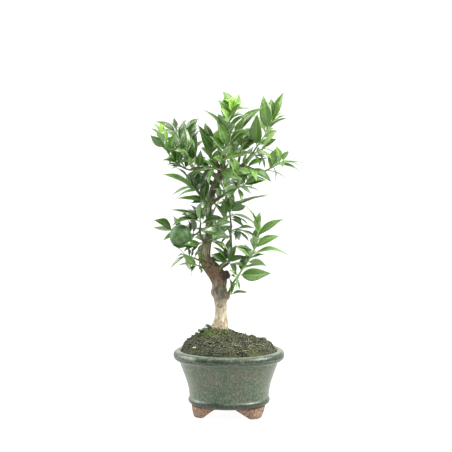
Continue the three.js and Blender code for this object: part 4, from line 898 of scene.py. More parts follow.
class Route:
    """A line through points, with the place and the heading at each share of its length."""

    def __init__(self, points):
        self.points = np.array(points, float)
        self.steps = np.linalg.norm(np.diff(self.points, axis=0), axis=1)

    def at(self, share):
        left = share * self.steps.sum()
        i = 0
        while i < len(self.steps) - 1 and left > self.steps[i]:
            left -= self.steps[i]
            i += 1
        heading = unit(self.points[i + 1] - self.points[i])
        return self.points[i] + heading * left, heading


def stem_route(points):
    """The shoot's line, led back to the nearest place on the wood's own lines."""
    first = np.array(points[0], float)
    nearest = None
    for line in LIMBS.values():
        line = np.array(line, float)[:, :3]
        for a, b in zip(line, line[1:]):
            share = np.clip((first - a).dot(b - a) / (b - a).dot(b - a), 0, 1)
            place = a + (b - a) * share
            if nearest is None or np.linalg.norm(place - first) < np.linalg.norm(nearest - first):
                nearest = place
    led = np.linalg.norm(nearest - first) > 0.8
    return Route([nearest, *points] if led else points)


BENDS = [
    (depth, swing, roll)
    for depth in (0, 5, -5, 10, -10, 15, -15, 20, -20)
    for swing in (0, 0.09, -0.09, 0.18, -0.18)
    for roll in (0, 0.3, -0.3)
]


def listed_leaves(tip, base):
    """A listed leaf after each of the bends: where it starts, where it ends, how it faces."""
    for depth, swing, roll in BENDS:
        reach = np.array([tip[0], tip[1] + depth, tip[2]], float) - base
        c, s = math.cos(swing), math.sin(swing)
        end = np.array([reach[0] * c - reach[2] * s, reach[1], reach[0] * s + reach[2] * c]) + base
        yield end, min(max(tip[3] + roll, -1), 1)


def spare_leaves(base, heading, index, shoot_number):
    """The leaves that the rule tries at a place, one for each attempt."""
    first = unit(np.array([-heading[1], heading[0], 0.001]))
    second = np.cross(heading, first)
    for attempt in range(SPARE_TRIES):
        number = SEED + 10000 * shoot_number + 400 * index + 4 * attempt
        turn = GOLDEN_TURN * index + 2 * math.pi * draw(number)
        spread = between(SPARE_SPREAD, number + 1)
        around = first * math.cos(turn) + second * math.sin(turn)
        reach = heading * math.cos(spread) + around * math.sin(spread)
        reach[1] = abs(reach[1])
        reach[2] += SPARE_LIFT
        face = between(SPARE_FACE, number + 3)
        tip = base + unit(reach) * between(SPARE_LENGTH, number + 2)
        yield tip, -face if base[1] > BACK_DEPTH else face


def leaf_frame(base, tip, face):
    """The leaf's length, and the ways along it, up from its upper side and across it."""
    length = np.linalg.norm(tip - base)
    reach = (tip - base) / length
    front = np.array([0, -1, 0.12])
    front = unit(front - reach * front.dot(reach))
    beside = np.cross(front, reach)
    if beside[2] < 0:
        beside = -beside
    up = unit(front * face + beside * math.sqrt(1 - face * face))
    return length, reach, up, np.cross(up, reach)


def stalk_share(length):
    return max(STALK_LENGTH[0], STALK_LENGTH[1] / length)


def half_width(length, v):
    swell = np.sin(np.pi * v**BLADE_SKEW) ** 0.9
    blade = LEAF_WIDTH * length * swell * (1 - TIP_NARROWING * v**3)
    return np.maximum(blade, STALK_WIDTH * (1 - v))


def last_edge(base, tip, face):
    """The corner of the part's coarser blade that tells which way the leaf is rolled."""
    length, reach, up, side = leaf_frame(base, tip, face)
    stalk = stalk_share(length)
    share = stalk + LAST_STATION * (1 - stalk)
    half = half_width(length, LAST_STATION)
    rise = LEAF_ARCH * length * 4 * share * (1 - share) + LEAF_FOLD * half
    return base + reach * share * length + side * half + up * rise


def leaf_order(listed, spare):
    count = listed + spare
    room = count - 1 if listed else count
    order = [None] * count
    for j in range(spare):
        order[int((j + 0.5) * room / spare)] = ("spare", j)
    rest = iter(range(listed))
    return [place or ("listed", next(rest)) for place in order]


def leaf_place(i, count):
    return 1.0 if i == count - 1 else STEM_BARE + (1 - STEM_BARE) * (i + 0.5) / max(count - 1, 1)


def found_leaves(name, number):
    """The shoot's leaves that stand in its solid, and its stem's route."""
    points, tips, spare = SHOOTS[name]
    tree = tree_of([corner.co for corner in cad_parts["shoot_" + name].data.vertices])

    def stands(point):
        placed = Vector((point * MM).tolist()) + Vector((AXIS.x, AXIS.y, 0))
        return tree.find(placed)[2] < CORNER_MATCH * MM

    route = stem_route(points)
    order = leaf_order(len(tips), spare)
    leaves = []
    for i, (kind, index) in enumerate(order):
        base, heading = route.at(leaf_place(i, len(order)))
        if kind == "listed":
            tries = listed_leaves(tips[index], base)
        else:
            tries = spare_leaves(base, heading, index, number)
        for tip, face in tries:
            if stands(tip) and stands(last_edge(base, tip, face)):
                leaves.append((base, tip, face, i / len(order), None, 1))
                break
    return route, leaves


def more_leaves():
    """The leaves that only the render has, by the shoot whose stem is nearest in front view."""
    samples = []
    for name, (points, _, _) in SHOOTS.items():
        route = stem_route(points)
        samples += [(name, share, route.at(share)[0]) for share in np.linspace(0.08, 1, 24)]
    given = {name: [] for name in SHOOTS}
    for x, z, tip_x, tip_z, forward, face, youth, width in MORE_LEAVES:
        far = [math.hypot(at[0] - x, at[2] - z) + BACK_BIAS * at[1] for _, _, at in samples]
        name, share, base = samples[far.index(min(far))]
        tip = np.array([tip_x, base[1] - forward, tip_z], float)
        given[name].append((base, tip, face, share, youth, width))
    return given


def toned(tip):
    """The tone, width and sag of the leaf whose tip is at a listed place, or None."""
    for x, z, tone, width, *sag in LEAF_TONES:
        if math.hypot(tip[0] - x, tip[2] - z) < TONE_REACH:
            return tone, width, sum(sag)
    return None


def leaf_surface(leaf, seed, young, width=1, sag=0):
    """A fine blade on its stalk: rings of points round it, with the values that colour it."""
    base, tip, face = leaf
    length, reach, up, side = leaf_frame(base, tip, face)
    stalk = stalk_share(length)
    shares = np.concatenate([np.array([0, 0.5]) * stalk, stalk + (1 - stalk) * BLADE_PLACES])
    v = np.maximum((shares - stalk) / (1 - stalk), 0)
    blade = smooth_step(0, 0.06, v)
    breadth = half_width(length, v) * VISUAL_WIDTH * width * between((0.94, 1.06), seed)
    half = np.where(blade > 0, breadth, STALK_WIDTH * 0.8)
    half[-1] = 0.05
    twist = between((-0.35, 0.35), seed + 1) * v**1.5
    hook = between((-0.02, 0.05), seed + 2) * length
    sway = between((-0.02, 0.02), seed + 3) * length
    ripple = between((0.1, 0.45), seed + 4) * (0.5 if young else 1)
    phase = 2 * math.pi * draw(seed + 5)
    rings, values = [], []
    for k, share in enumerate(shares):
        centre = base + reach * share * length
        centre = centre + up * (LEAF_ARCH * length * 4 * share * (1 - share) + hook * v[k] * (1 - v[k]) * 2)
        belly = math.sin(math.pi * share)
        centre = centre + side * sway * belly - np.array([0, 0, sag * belly])
        c, s = math.cos(twist[k]), math.sin(twist[k])
        across, lift = side * c + up * s, up * c - side * s
        thick = np.where(blade[k] > 0, 0.17 + 0.16 * (1 - v[k]), 0.55)
        ring = []
        for u, top in BLADE_RING:
            edge = abs(u)
            rise = LEAF_FOLD * half[k] * (edge**1.25 - 0.25) * blade[k]
            rise += ripple * blade[k] * edge**2 * math.sin(9 * v[k] + phase + (1.7 if u > 0 else 0))
            rib = math.exp(-((u / 0.13) ** 2)) * blade[k] * (1 - v[k])
            round_off = math.sqrt(max(1 - edge**4, 0))
            way = 1 if top else -1
            height = rise + way * thick * round_off - (0.22 if top else 0.34) * rib
            if blade[k] == 0:
                height = way * thick * math.sqrt(max(1 - u * u, 0))
            ring.append(centre + across * u * half[k] + lift * height)
            values.append((edge if blade[k] > 0 else 0.0, v[k]))
        rings.append(ring)
    return np.array(rings), np.array(values)


def leaf_tone_with_painted_light(tip, share, seed, tender, fresh):
    """How pale a leaf is and how young: a tone drawn at random, with painted light and shade laid on by
    place, paler to the right, at the top and in front where the light falls, and darker to the upper left as
    painted shade.
    """
    x, y, z = tip
    # Painted light and shade: the x, z and y terms lighten leaves to the right, at the top and in front, and
    # darken them behind and to the upper left.
    own_tone_and_painted_light = between((-0.10, 0.55), seed) + 0.15 * share + 0.42 * float(smooth_step(-30, 50, x))
    own_tone_and_painted_light += 0.38 * float(smooth_step(340, 410, z)) - 0.22 * float(smooth_step(-5, 30, y))
    own_tone_and_painted_light -= 0.30 * float(smooth_step(-20, -50, x)) if z > 290 else 0
    own_tone_and_painted_light += 0.24 * float(smooth_step(36, 18, abs(x)) * smooth_step(320, 345, z))
    return own_tone_and_painted_light, 0.9 if fresh else 0.25 * tender * float(smooth_step(0.6, 1, share))


def add_shoot(name, number, looks, more):
    route, leaves = found_leaves(name, number)
    leaves += more
    skin = Skin(("across", "along", "tint", "young"))
    radii = np.linspace(*STEM_RADIUS, len(route.points))
    stem = rounded(np.column_stack([route.points, radii]), 3)
    tender = name in YOUNG_SHOOTS
    ring_ages = np.repeat(np.linspace(0, 1, len(stem)), STEM_SIDES)
    youth = 0.75 * smooth_step(0.55, 0.95, ring_ages) * tender
    stem[:, 3] *= 1 + 0.12 * noise_at(stem[:, :3], 0.35, number)
    add_tube(skin, stem, STEM_SIDES, 2, along=ring_ages, tint=0.5, young=youth)
    strips = [0 if top else 1 for _, top in BLADE_RING]
    for i, (base, tip, face, share, youth, width) in enumerate(leaves):
        seed = 9000 * number + 50 * i + 17
        nearest = stem[np.argmin(np.linalg.norm(stem[:, :3] - base, axis=1)), :3]
        length = np.linalg.norm(tip - base)
        fresh = tender and share > 0.75 and length < YOUNG_LENGTH and tip[2] > base[2]
        tone, wider, sag = toned(tip) or (None, width, 0)
        rings, values = leaf_surface((nearest, tip, face), seed, fresh, wider, sag)
        # The tint holds each leaf's own tone together with painted light and shade by place.
        own_tone_and_painted_light, bright = leaf_tone_with_painted_light(tip, share, seed + 6, tender, fresh)
        bright = bright if youth is None else youth
        if tone is not None:
            own_tone_and_painted_light, bright = tone, min(bright, 0.12)
        tint = min(max(own_tone_and_painted_light, 0), 1)
        here = strips * (len(rings) - 1) + [2, 0]
        faces = tube_faces(len(rings), len(BLADE_RING))
        skin.add(rings, faces, here, across=values[:, 0], along=values[:, 1], tint=tint, young=bright)
        bud = nearest + unit(tip - base) * 1.2 + np.array([0, 0, 0.7])
        bud_line = [(*nearest, 0.5), (*(nearest * 0.4 + bud * 0.6), 0.62), (*bud, 0.12)]
        add_tube(skin, bud_line, 6, 2, along=1.0, tint=0.5, young=0.2)
    place_piece(skin.piece("leaves_" + name, looks), "foliage", "shoot_" + name)


# The wood


def limb_line(points):
    """A rounded limb with a point about each step, of x, y, z and radius."""
    line = rounded(points, 3)
    passed = np.concatenate([[0], np.cumsum(np.linalg.norm(np.diff(line[:, :3], axis=0), axis=1))])
    places = np.linspace(0, passed[-1], max(int(passed[-1] / LIMB_STEP), 4))
    return np.stack([np.interp(places, passed, line[:, k]) for k in range(4)], 1)


def root_line(degrees, reach, radius):
    turn = math.radians(degrees)
    x, y = TRUNK_FOOT
    line = []
    for share, rise, size in ((0, 9, 1), (0.45, 0, 0.9), (0.8, -8, 0.6), (1, -17, 0.35)):
        out = reach * share
        line.append((x + out * math.cos(turn), y + out * math.sin(turn), SOIL_PEAK + rise - 4, radius * size))
    return line


def flutes(turns, height):
    """The trunk's shallow flutes, as a factor of its radius."""
    return 1 + 0.05 * np.sin(3 * turns + 0.11 * height) + 0.03 * np.sin(5 * turns - 0.07 * height)


def remeshed(piece, voxel):
    """The piece's points and faces after its bodies are grown together."""
    change = piece.modifiers.new("grown_together", "REMESH")
    change.mode = "VOXEL"
    change.voxel_size = voxel * MM
    graph = bpy.context.evaluated_depsgraph_get()
    shape = piece.evaluated_get(graph).data
    points = np.empty(len(shape.vertices) * 3)
    shape.vertices.foreach_get("co", points)
    points = points.reshape(-1, 3) / MM - np.array([AXIS.x, AXIS.y, 0]) / MM
    faces = np.array([tuple(polygon.vertices) for polygon in shape.polygons])
    bpy.data.objects.remove(piece)
    return points, faces


def relaxed(points, faces, times):
    """The points after each is moved half way to its neighbours' middle, this many times."""
    edges = np.vstack([faces[:, [i, (i + 1) % 4]] for i in range(4)])
    edges = np.vstack([edges, edges[:, ::-1]])
    number = np.bincount(edges[:, 0], minlength=len(points))[:, None]
    for _ in range(times):
        total = np.zeros_like(points)
        np.add.at(total, edges[:, 0], points[edges[:, 1]])
        points = points * 0.5 + total / number * 0.5
    return points


def outward(points, faces):
    """The unit normal at each point."""
    a, b, c, d = (points[faces[:, i]] for i in range(4))
    face_normals = np.cross(c - a, d - b)
    total = np.zeros_like(points)
    for i in range(4):
        np.add.at(total, faces[:, i], face_normals)
    return total / np.maximum(np.linalg.norm(total, axis=1, keepdims=True), 1e-9)


def patch(points, centre, radius, soft=0.5):
    """1 within the radius of a place and 0 well outside it."""
    distance = np.linalg.norm(points - np.array(centre, float), axis=1)
    return 1 - smooth_step(radius * (1 - soft), radius * (1 + soft), distance)


def grown_wood():
    """All limbs, roots and the cut's face grown together: points, faces, and for each point its place
    in its own limb's length and width, and the limb's radius there."""
    rough = Skin()
    samples, ways = [], []
    lines = [(name, line, 24 if name == "trunk" else 14) for name, line in LIMBS.items()]
    lines += [("root", root_line(*root), 16) for root in ROOTS]
    lines.append(("cut", STUB_FACE, 18))
    for number, (name, points, sides) in enumerate(lines):
        line = limb_line(points)
        add_tube(rough, line, sides, relief=flutes if name == "trunk" else None)
        samples += [(*place, 400 * number + LIMB_STEP * i) for i, place in enumerate(line)]
        ways += ways_across(line[:, :3])
    points, faces = remeshed(rough.piece("wood_lines", ()), WOOD_VOXEL)
    points = relaxed(points, faces, 3)
    samples, ways = np.array(samples), np.array(ways)
    tree = tree_of(samples[:, :3])
    nearest = []
    for point in points:
        found = tree.find_n(point, 6)
        nearest.append(min(found, key=lambda hit: hit[2] - samples[hit[1], 3])[1])
    from_middle = points - samples[nearest, :3]
    across = [np.einsum("ij,ij->i", from_middle, ways[nearest, k]) for k in (0, 1)]
    return points, faces, np.stack([*across, samples[nearest, 4]], 1), samples[nearest, 3]


def make_wood():
    points, faces, local, radius = grown_wood()
    normals = outward(points, faces)
    long = np.array([0.42, 0.42, 0.085])
    furrow = 1 - np.abs(noise_at(local, long, 3.1))
    plates = noise_at(local, long * 2.3, 11.7)
    knobs = noise_at(points, 0.11, 5.3)
    fine = noise_at(local, long * 5.5, 23.9)
    share = np.clip(radius / 9, 0.16, 1.1)
    push = share * (1.5 * (furrow - 0.85) + 0.38 * plates + 0.75 * knobs)
    push += 0.13 * fine * np.minimum(share * 2, 1)
    stub = np.array(STUB_FACE[-1][:3], float)
    wound = patch(points, stub, 6.2, 0.2)
    rim = patch(points, stub, 8.2, 0.3) - patch(points, stub, 5.6, 0.3)
    push += 0.5 * np.maximum(rim, 0) - 1.3 * patch(points, stub, 4.6, 0.4)
    for place, reach, rise in KNOBS:
        push += rise * patch(points, place, reach, 0.9)
    ring = np.linalg.norm((points - np.array(KNOT)) * (0.8, 1, 1.1), axis=1)
    ring += 1.1 * noise_at(points, 0.45, 6.0)
    knot = (1 - smooth_step(0.5, 1.7, np.abs(ring - 2.3))) * (points[:, 1] < 0)
    knot *= smooth_step(-0.35, 0.05, noise_at(points, 0.3, 51.0))
    push += 0.35 * knot - 0.3 * patch(points, KNOT, 1.6)
    points = points + normals * push[:, None]
    # Cracks along the furrows and low plates: partly darker fissure bark, partly painted shade in these
    # recesses.
    cracks = smooth_step(0.62, 0.95, furrow) * 0.7 + smooth_step(0.05, 0.45, -plates) * 0.6
    low = 1 - smooth_step(112, 119, points[:, 2] + 3 * noise_at(points, 0.2, 2.0))
    spots = smooth_step(-0.02, 0.14, noise_at(points, 0.30, 17.0))
    collar = smooth_step(114, 118, points[:, 2]) * (1 - smooth_step(124, 132, points[:, 2])) * spots
    flecks = smooth_step(0.25, 0.5, noise_at(points, 0.15, 37.0)) * (points[:, 2] < 150)
    collar = np.maximum(collar, 0.6 * flecks)
    near_trunk = np.linalg.norm(points[:, :2] - TRUNK_FOOT, axis=1) < 17
    streak = np.maximum.reduce([patch(points, place, 2.6, 0.7) for place in ASH_STREAK])
    rusty = [patch(points, place, reach, 0.8) for place, reach in RUSTY_PLACES]
    marks = {
        "wound": wound,
        "rust": 0.85 * np.maximum.reduce([*rusty, rim, 0 * rim]),
        "bare": patch(points, BARE_PLACE, 5),
        "green": 0.85 * low,
        "knot": 0.8 * knot,
        "crust": 0.85 * collar * near_trunk,
        "slim": 0.85 * (1 - smooth_step(1.7, 2.9, radius)),
        "ash": 0.75 * streak,
        # deep: the cracks, darkened partly as painted shade.
        "deep": np.clip(cracks, 0, 1) * (0.35 + 0.65 * smooth_step(146, 170, points[:, 2])),
        **dict(zip(("bark_x", "bark_y", "bark_z"), local.T)),
    }
    skin = Skin(marks)
    skin.add(points, faces, **marks)
    place_piece(skin.piece("bark", [bark_look()]), "bark", "trunk_and_branches")


# The pot


def ellipse(r, z, half_r, half_z, start, end, steps):
    turns = np.radians(np.linspace(start, end, steps + 1))
    return np.stack([r + half_r * np.cos(turns), z + half_z * np.sin(turns)], 1)


def lip_arc(start, end, steps):
    middle = (RIM_RADIUS - LIP_HALF_WIDTH, RIM_TOP - LIP_HALF_HEIGHT)
    return ellipse(*middle, LIP_HALF_WIDTH, LIP_HALF_HEIGHT, start, end, steps)


LIP_INSIDE = lip_arc(LIP_TURN_IN, LIP_TURN_IN, 1)[0]
SOIL_RIM = LIP_INSIDE - (0.36, 0.3)


def foot_section(turn):
    """The underside's outline at a turn round the pot: in, down one side of the foot, up the other."""
    heights, thicknesses, spans = np.array(FOOT_LEVELS).T
    off = min(abs((turn - foot + 180) % 360 - 180) for foot in FOOT_TURNS)
    bottom = float(np.interp(off, spans, heights)) if off > spans[0] else 0.0
    bottom = min(bottom, UNDERSIDE)
    levels = UNDERSIDE + (bottom - UNDERSIDE) * np.sin(np.linspace(0, math.pi / 2, FOOT_RINGS))
    span = np.interp(levels, heights, spans)
    thick = np.interp(levels, heights, thicknesses) * np.sqrt(np.maximum(1 - (off / span) ** 2, 0))
    spread = np.maximum(thick, 3.0 * np.linspace(1, 0.1, FOOT_RINGS) * (thick < 0.5))
    inner = np.stack([FOOT_RADIUS - spread, levels], 1)
    outer = np.stack([FOOT_RADIUS + spread, levels], 1)[::-1]
    flat = inner[-1] + (outer[0] - inner[-1]) * np.array([[0.25], [0.5], [0.75]])
    return np.vstack([inner, flat, outer])


def make_pot():
    upper = np.vstack(
        [
            [(BASE_RADIUS, UNDERSIDE + 1)],
            ellipse(BAND_RADIUS, BAND_HEIGHT, 3, 4, -65, 62, 12),
            spline(WALL_LINE, 8),
            lip_arc(-96, LIP_TURN_IN, 34),
            spline(INNER_LINE, 5),
            [(25, FLOOR), (DRAIN_RADIUS, FLOOR), (DRAIN_RADIUS, UNDERSIDE)],
        ]
    )
    rings = []
    for i in range(POT_SIDES):
        turn = 360 * i / POT_SIDES
        section = foot_section(turn)
        edge = [(max(BASE_RADIUS - 1, section[-1][0] - 0.05), UNDERSIDE)]
        outline = np.vstack([[(20, UNDERSIDE)], section, edge, upper])
        c, s = math.cos(math.radians(turn)), math.sin(math.radians(turn))
        r, z = outline[:, 0].copy(), outline[:, 1].copy()
        held = smooth_step(14, 24, z)
        wander = noise_at(np.stack([c + 0 * z, s + 0 * z, z * 0.016], 1), 1.3, 7.7)
        dents = noise_at(np.stack([r * c, r * s, z * 0.7], 1), 0.05, 2.2)
        r += held * (0.32 * wander + 0.16 * dents) * (r > DRAIN_RADIUS + 1)
        z += 0.25 * held * math.sin(2 * math.radians(turn) + 0.8)
        rings.append(np.stack([r * c, r * s, z], 1))
    count = len(rings[0])
    faces = []
    for i in range(POT_SIDES):
        j = (i + 1) % POT_SIDES
        for k in range(count):
            m = (k + 1) % count
            faces.append((i * count + k, j * count + k, j * count + m, i * count + m))
    skin = Skin()
    skin.add(rings, faces)
    place_piece(skin.piece("glazed_pot", [glaze_look()]), "glazed_stoneware", "pot")


# The soil


def soil_height(x, y):
    """The height of the part's own mound at each place."""
    middle = np.array(MOUND_PLACE, float)
    out = np.stack([x - middle[0], y - middle[1]], -1)
    distance = np.maximum(np.linalg.norm(out, axis=-1), 1e-6)
    along = out @ middle / distance
    to_edge = np.sqrt(along**2 + SOIL_RIM[0] ** 2 - middle @ middle) - along
    share = np.minimum(distance / to_edge, 1)
    fall = SOIL_CONE * (1 - share) + (1 - SOIL_CONE) * (1 - share**SOIL_BRIM)
    lumps = np.sin(0.31 * x + 0.2 * y) + np.sin(0.27 * y - 0.17 * x + 2) + np.sin(0.5 * x - 0.41 * y)
    fade = np.minimum(1, 6 * (1 - share))
    return SOIL_RIM[1] + (SOIL_PEAK - SOIL_RIM[1]) * fall + LUMP_HEIGHT * lumps * fade


def settled(x, y):
    """How far the finer soil lies below the part's: more at the right and the brim, less at the trunk."""
    right = 2.0 * smooth_step(0, 10, x) - 0.8 * smooth_step(25, 45, x)
    brim = 0.7 * smooth_step(42, 60, np.hypot(x, y)) * smooth_step(50, 25, -y)
    covered = 1.1 * smooth_step(20, 10, np.hypot(x - TRUNK_FOOT[0], y - TRUNK_FOOT[1]))
    covered = covered + 2.4 * smooth_step(17, 5, np.hypot(x + 27, y + 5))
    return SOIL_SETTLE + right + brim - covered


def moss_at(points):
    """How mossy the soil is at each point."""
    near = patch(points, MOSS_PLACE, 14, 0.6)
    field = smooth_step(0.15, 0.45, noise_at(points * np.array([1, 1, 0.3]), 0.045, 41.0))
    return np.clip(near * 0.9 + field * 0.75, 0, 1)


def make_soil():
    shares = np.linspace(0.004, 1, SOIL_ROWS)[::-1] ** 0.8
    turns = turns_of(SOIL_SIDES)
    x, y = (SOIL_RIM[0] * np.outer(shares, way(turns)) for way in (np.cos, np.sin))
    top = np.stack([x, y, soil_height(x, y)], -1)
    flat = top.reshape(-1, 3)
    grain = noise_at(flat, 0.16, 3.3) * 1.3 + noise_at(flat, 0.5, 9.1) * 0.7
    top[..., 2] += grain.reshape(x.shape) * np.minimum(1, 5 * (1 - shares))[:, None]
    top[..., 2] -= settled(x, y)
    low = ((14, FLOOR + 2.6), (42, FLOOR + 2.6), (45.6, 23.5), (50, 43), (59.8, 76))
    rim = [circle((1, 0, 0), (0, 1, 0), r, turns) + (0, 0, z) for r, z in low]
    rings = np.vstack([rim, top])
    skin = Skin(("moss",))
    skin.add(rings, tube_faces(len(rings), SOIL_SIDES), moss=moss_at(rings.reshape(-1, 3)))
    place_piece(skin.piece("earth", [soil_look("damp_earth")]), "soil", "soil")


def blob(detail):
    """A ball of triangles to make crumbs from."""
    golden = (1 + 5**0.5) / 2
    corners = [(a, b * golden) for a in (-1, 1) for b in (-1, 1)]
    points = [np.roll((a, b, 0), shift) / math.hypot(1, golden) for shift in (0, 1, 2) for a, b in corners]
    faces = []
    for i, j, k in combinations(range(12), 3):
        a, b, c = points[i], points[j], points[k]
        if max(np.linalg.norm(a - b), np.linalg.norm(b - c), np.linalg.norm(a - c)) < BLOB_EDGE:
            outwards = np.cross(b - a, c - a).dot(a + b + c) > 0
            faces.append((i, j, k) if outwards else (i, k, j))
    for _ in range(detail):
        middles, finer = {}, []

        def middle(i, j):
            key = (min(i, j), max(i, j))
            if key not in middles:
                middles[key] = len(points)
                points.append(unit(points[i] + points[j]))
            return middles[key]

        for i, j, k in faces:
            a, b, c = middle(i, j), middle(j, k), middle(k, i)
            finer += [(i, a, c), (a, j, b), (c, b, k), (a, b, c)]
        faces = finer
    return np.array(points), faces


def turned(points, *angles):
    """The points turned about x, then y, then z."""
    return points @ np.array(Euler(angles).to_matrix()).T


def ground(x, y):
    """The height of the dressed soil at a place."""
    inside = min(1.0, (LIP_INSIDE[0] - 0.5) / max(math.hypot(x, y), 1e-6))
    z = float(soil_height(np.array([x * inside]), np.array([y * inside]))[0])
    return z + 1.1 * noise_at([(x, y, z)], 0.16, 3.3)[0] - float(settled(x, y))


def soil_places(first_seed, step, number, spread, clear=0):
    """Seeds and places spread over the soil, outside this far from the trunk's middle."""
    for i in range(number):
        seed = first_seed + step * i
        turn = 2 * math.pi * draw(seed)
        reach = LIP_INSIDE[0] * spread * math.sqrt(draw(seed + 1))
        x, y = reach * math.cos(turn), reach * math.sin(turn)
        if math.hypot(x - TRUNK_FOOT[0], y - TRUNK_FOOT[1]) >= clear:
            yield i, seed, x, y


def make_crumbs():
    """Crumbs of earth and, as a piece of their own, flakes of leaf mould."""
    small, small_faces = blob(0)
    large, large_faces = blob(1)
    skin = Skin(("moss",))
    for i, seed, x, y in soil_places(200000, 10, CRUMBS, 1.02, 11):
        size = 0.35 + 1.35 * draw(seed + 2) ** 3.6
        big = size > 0.9
        stretch = [size * (0.6 + 0.9 * draw(seed + k)) for k in (3, 4)] + [size * 0.55]
        angles = [2 * math.pi * draw(seed + k) for k in (6, 7, 8)]
        shape = turned((large if big else small) * np.array(stretch), *angles)
        if big:
            shape *= 1 + 0.2 * noise_at(shape + i, 1.1)[:, None]
        centre = np.array([x, y, ground(x, y) + size * 0.2])
        moss = float(moss_at(centre[None])[0]) * (draw(seed + 9) > 0.35)
        stone = int(draw(seed + 8) >= 0.975)
        skin.add(shape + centre, large_faces if big else small_faces, stone, moss=moss)
    looks = [soil_look("crumbs"), flat_look("pumice", (0.09, 0.080, 0.050), (0.26, 0.235, 0.170), 0.9, 0.8)]
    place_piece(skin.piece("soil_crumbs", looks), "soil")
    skin = Skin()
    for _, seed, x, y in soil_places(500000, 12, FLAKES, 0.99, 12):
        length = between((0.9, 2.6), seed + 2) * (0.6 + 0.4 * draw(seed + 3))
        flake = large * np.array([length, length * between((0.35, 0.8), seed + 4), 0.28])
        flake[:, 2] += 0.12 * length * np.cos(1.4 * flake[:, 0] / length)
        tilt = between((-0.8, 0.8), seed + 5)
        flake = turned(flake, 0, -tilt, 2 * math.pi * draw(seed + 6))
        centre = np.array([x, y, ground(x, y) + 0.4 + 0.3 * length * abs(math.sin(tilt))])
        skin.add(flake + centre, large_faces)
    look = flat_look("leaf_mould", (0.016, 0.018, 0.009), (0.110, 0.113, 0.070), 0.8, 1.6)
    place_piece(skin.piece("soil_flakes", [look]), "soil")


def lying_line(x, y, turn, length, lift, bend):
    """A short line that lies on the soil, held inside the brim."""
    line = []
    c, s = math.cos(turn), math.sin(turn)
    for t in np.linspace(-0.5, 0.5, 6):
        px = x + length * t * c - bend * t * t * s
        py = y + length * t * s + bend * t * t * c
        inside = min(1.0, LITTER_REACH / math.hypot(px, py))
        px, py = px * inside, py * inside
        line.append([px, py, ground(px, py) + lift])
    return np.array(line)


def make_litter():
    """Straws, fibres and chips of bark that lie on the soil."""
    skin = Skin()
    for _, seed, x, y in soil_places(400000, 10, STRAWS, 0.94):
        length, turn = between((3, 10), seed + 2), math.pi * draw(seed + 3)
        line = lying_line(x, y, turn, length, between((0.2, 0.8), seed + 4), between((-2, 2), seed + 5))
        line[:, 2] += between((0, 1.6), seed + 7) * np.linspace(0, 1, len(line)) ** 2
        width = between((0.14, 0.34), seed + 6)
        widths = width * np.array([0.6, 1, 1, 1, 0.9, 0.5])
        add_tube(skin, np.column_stack([line, widths]), 5, int(draw(seed + 8) * 3))
    for x, y, length, width, turn in CHIPS:
        line = lying_line(x, y, turn, length, 0.7, 0.8)
        rings = tube_rings(np.column_stack([line, np.full(len(line), width)]), 8)
        flat = line[:, None, :] + (rings - line[:, None, :]) * np.array([1, 1, 0.35])
        skin.add(flat, tube_faces(len(line), 8), 0)
    looks = [
        flat_look("straw", (0.30, 0.235, 0.120), (0.56, 0.46, 0.27), 0.7, 0.8),
        flat_look("old_fibre", (0.090, 0.070, 0.040), (0.25, 0.20, 0.12), 0.8, 0.8),
        flat_look("grey_fibre", (0.120, 0.120, 0.085), (0.30, 0.30, 0.22), 0.8, 0.8),
    ]
    place_piece(skin.piece("soil_litter", looks), "soil")


def make_moss():
    """Tufts of short upright blades where the soil is mossy, thickest at the trunk's left."""
    skin = Skin(("along", "tint", "young", "across"))
    count = 0
    for _, seed, x, y in soil_places(600000, 40, 9 * MOSS_TUFTS, 0.95):
        z = ground(x, y)
        if draw(seed + 2) > moss_at(np.array([[x, y, z]]))[0] ** 1.2 or count >= MOSS_TUFTS:
            continue
        count += 1
        for k in range(7):
            turn = 2 * math.pi * draw(seed + 3 + 4 * k)
            out = 0.9 * draw(seed + 4 + 4 * k)
            height = between((0.7, 1.9), seed + 5 + 4 * k)
            bx, by = x + out * math.cos(turn), y + out * math.sin(turn)
            tip = (bx + 0.7 * math.cos(turn), by + 0.7 * math.sin(turn), z + height)
            middle = ((bx + tip[0]) / 2, (by + tip[1]) / 2, z + height * 0.6, 0.2)
            add_tube(skin, [(bx, by, z - 0.5, 0.22), middle, (*tip, 0.03)], 4, 0, tint=draw(seed + 6 + 4 * k))
    look = Look("moss_blades", 0.8)
    greens = ((0.030, 0.046, 0.010), (0.085, 0.115, 0.028), (0.20, 0.24, 0.07))
    look.colour(look.ramp(look.value("tint"), (0.0, 0.6, 1.0), *greens))
    place_piece(skin.piece("moss", [look.material]), "foliage")


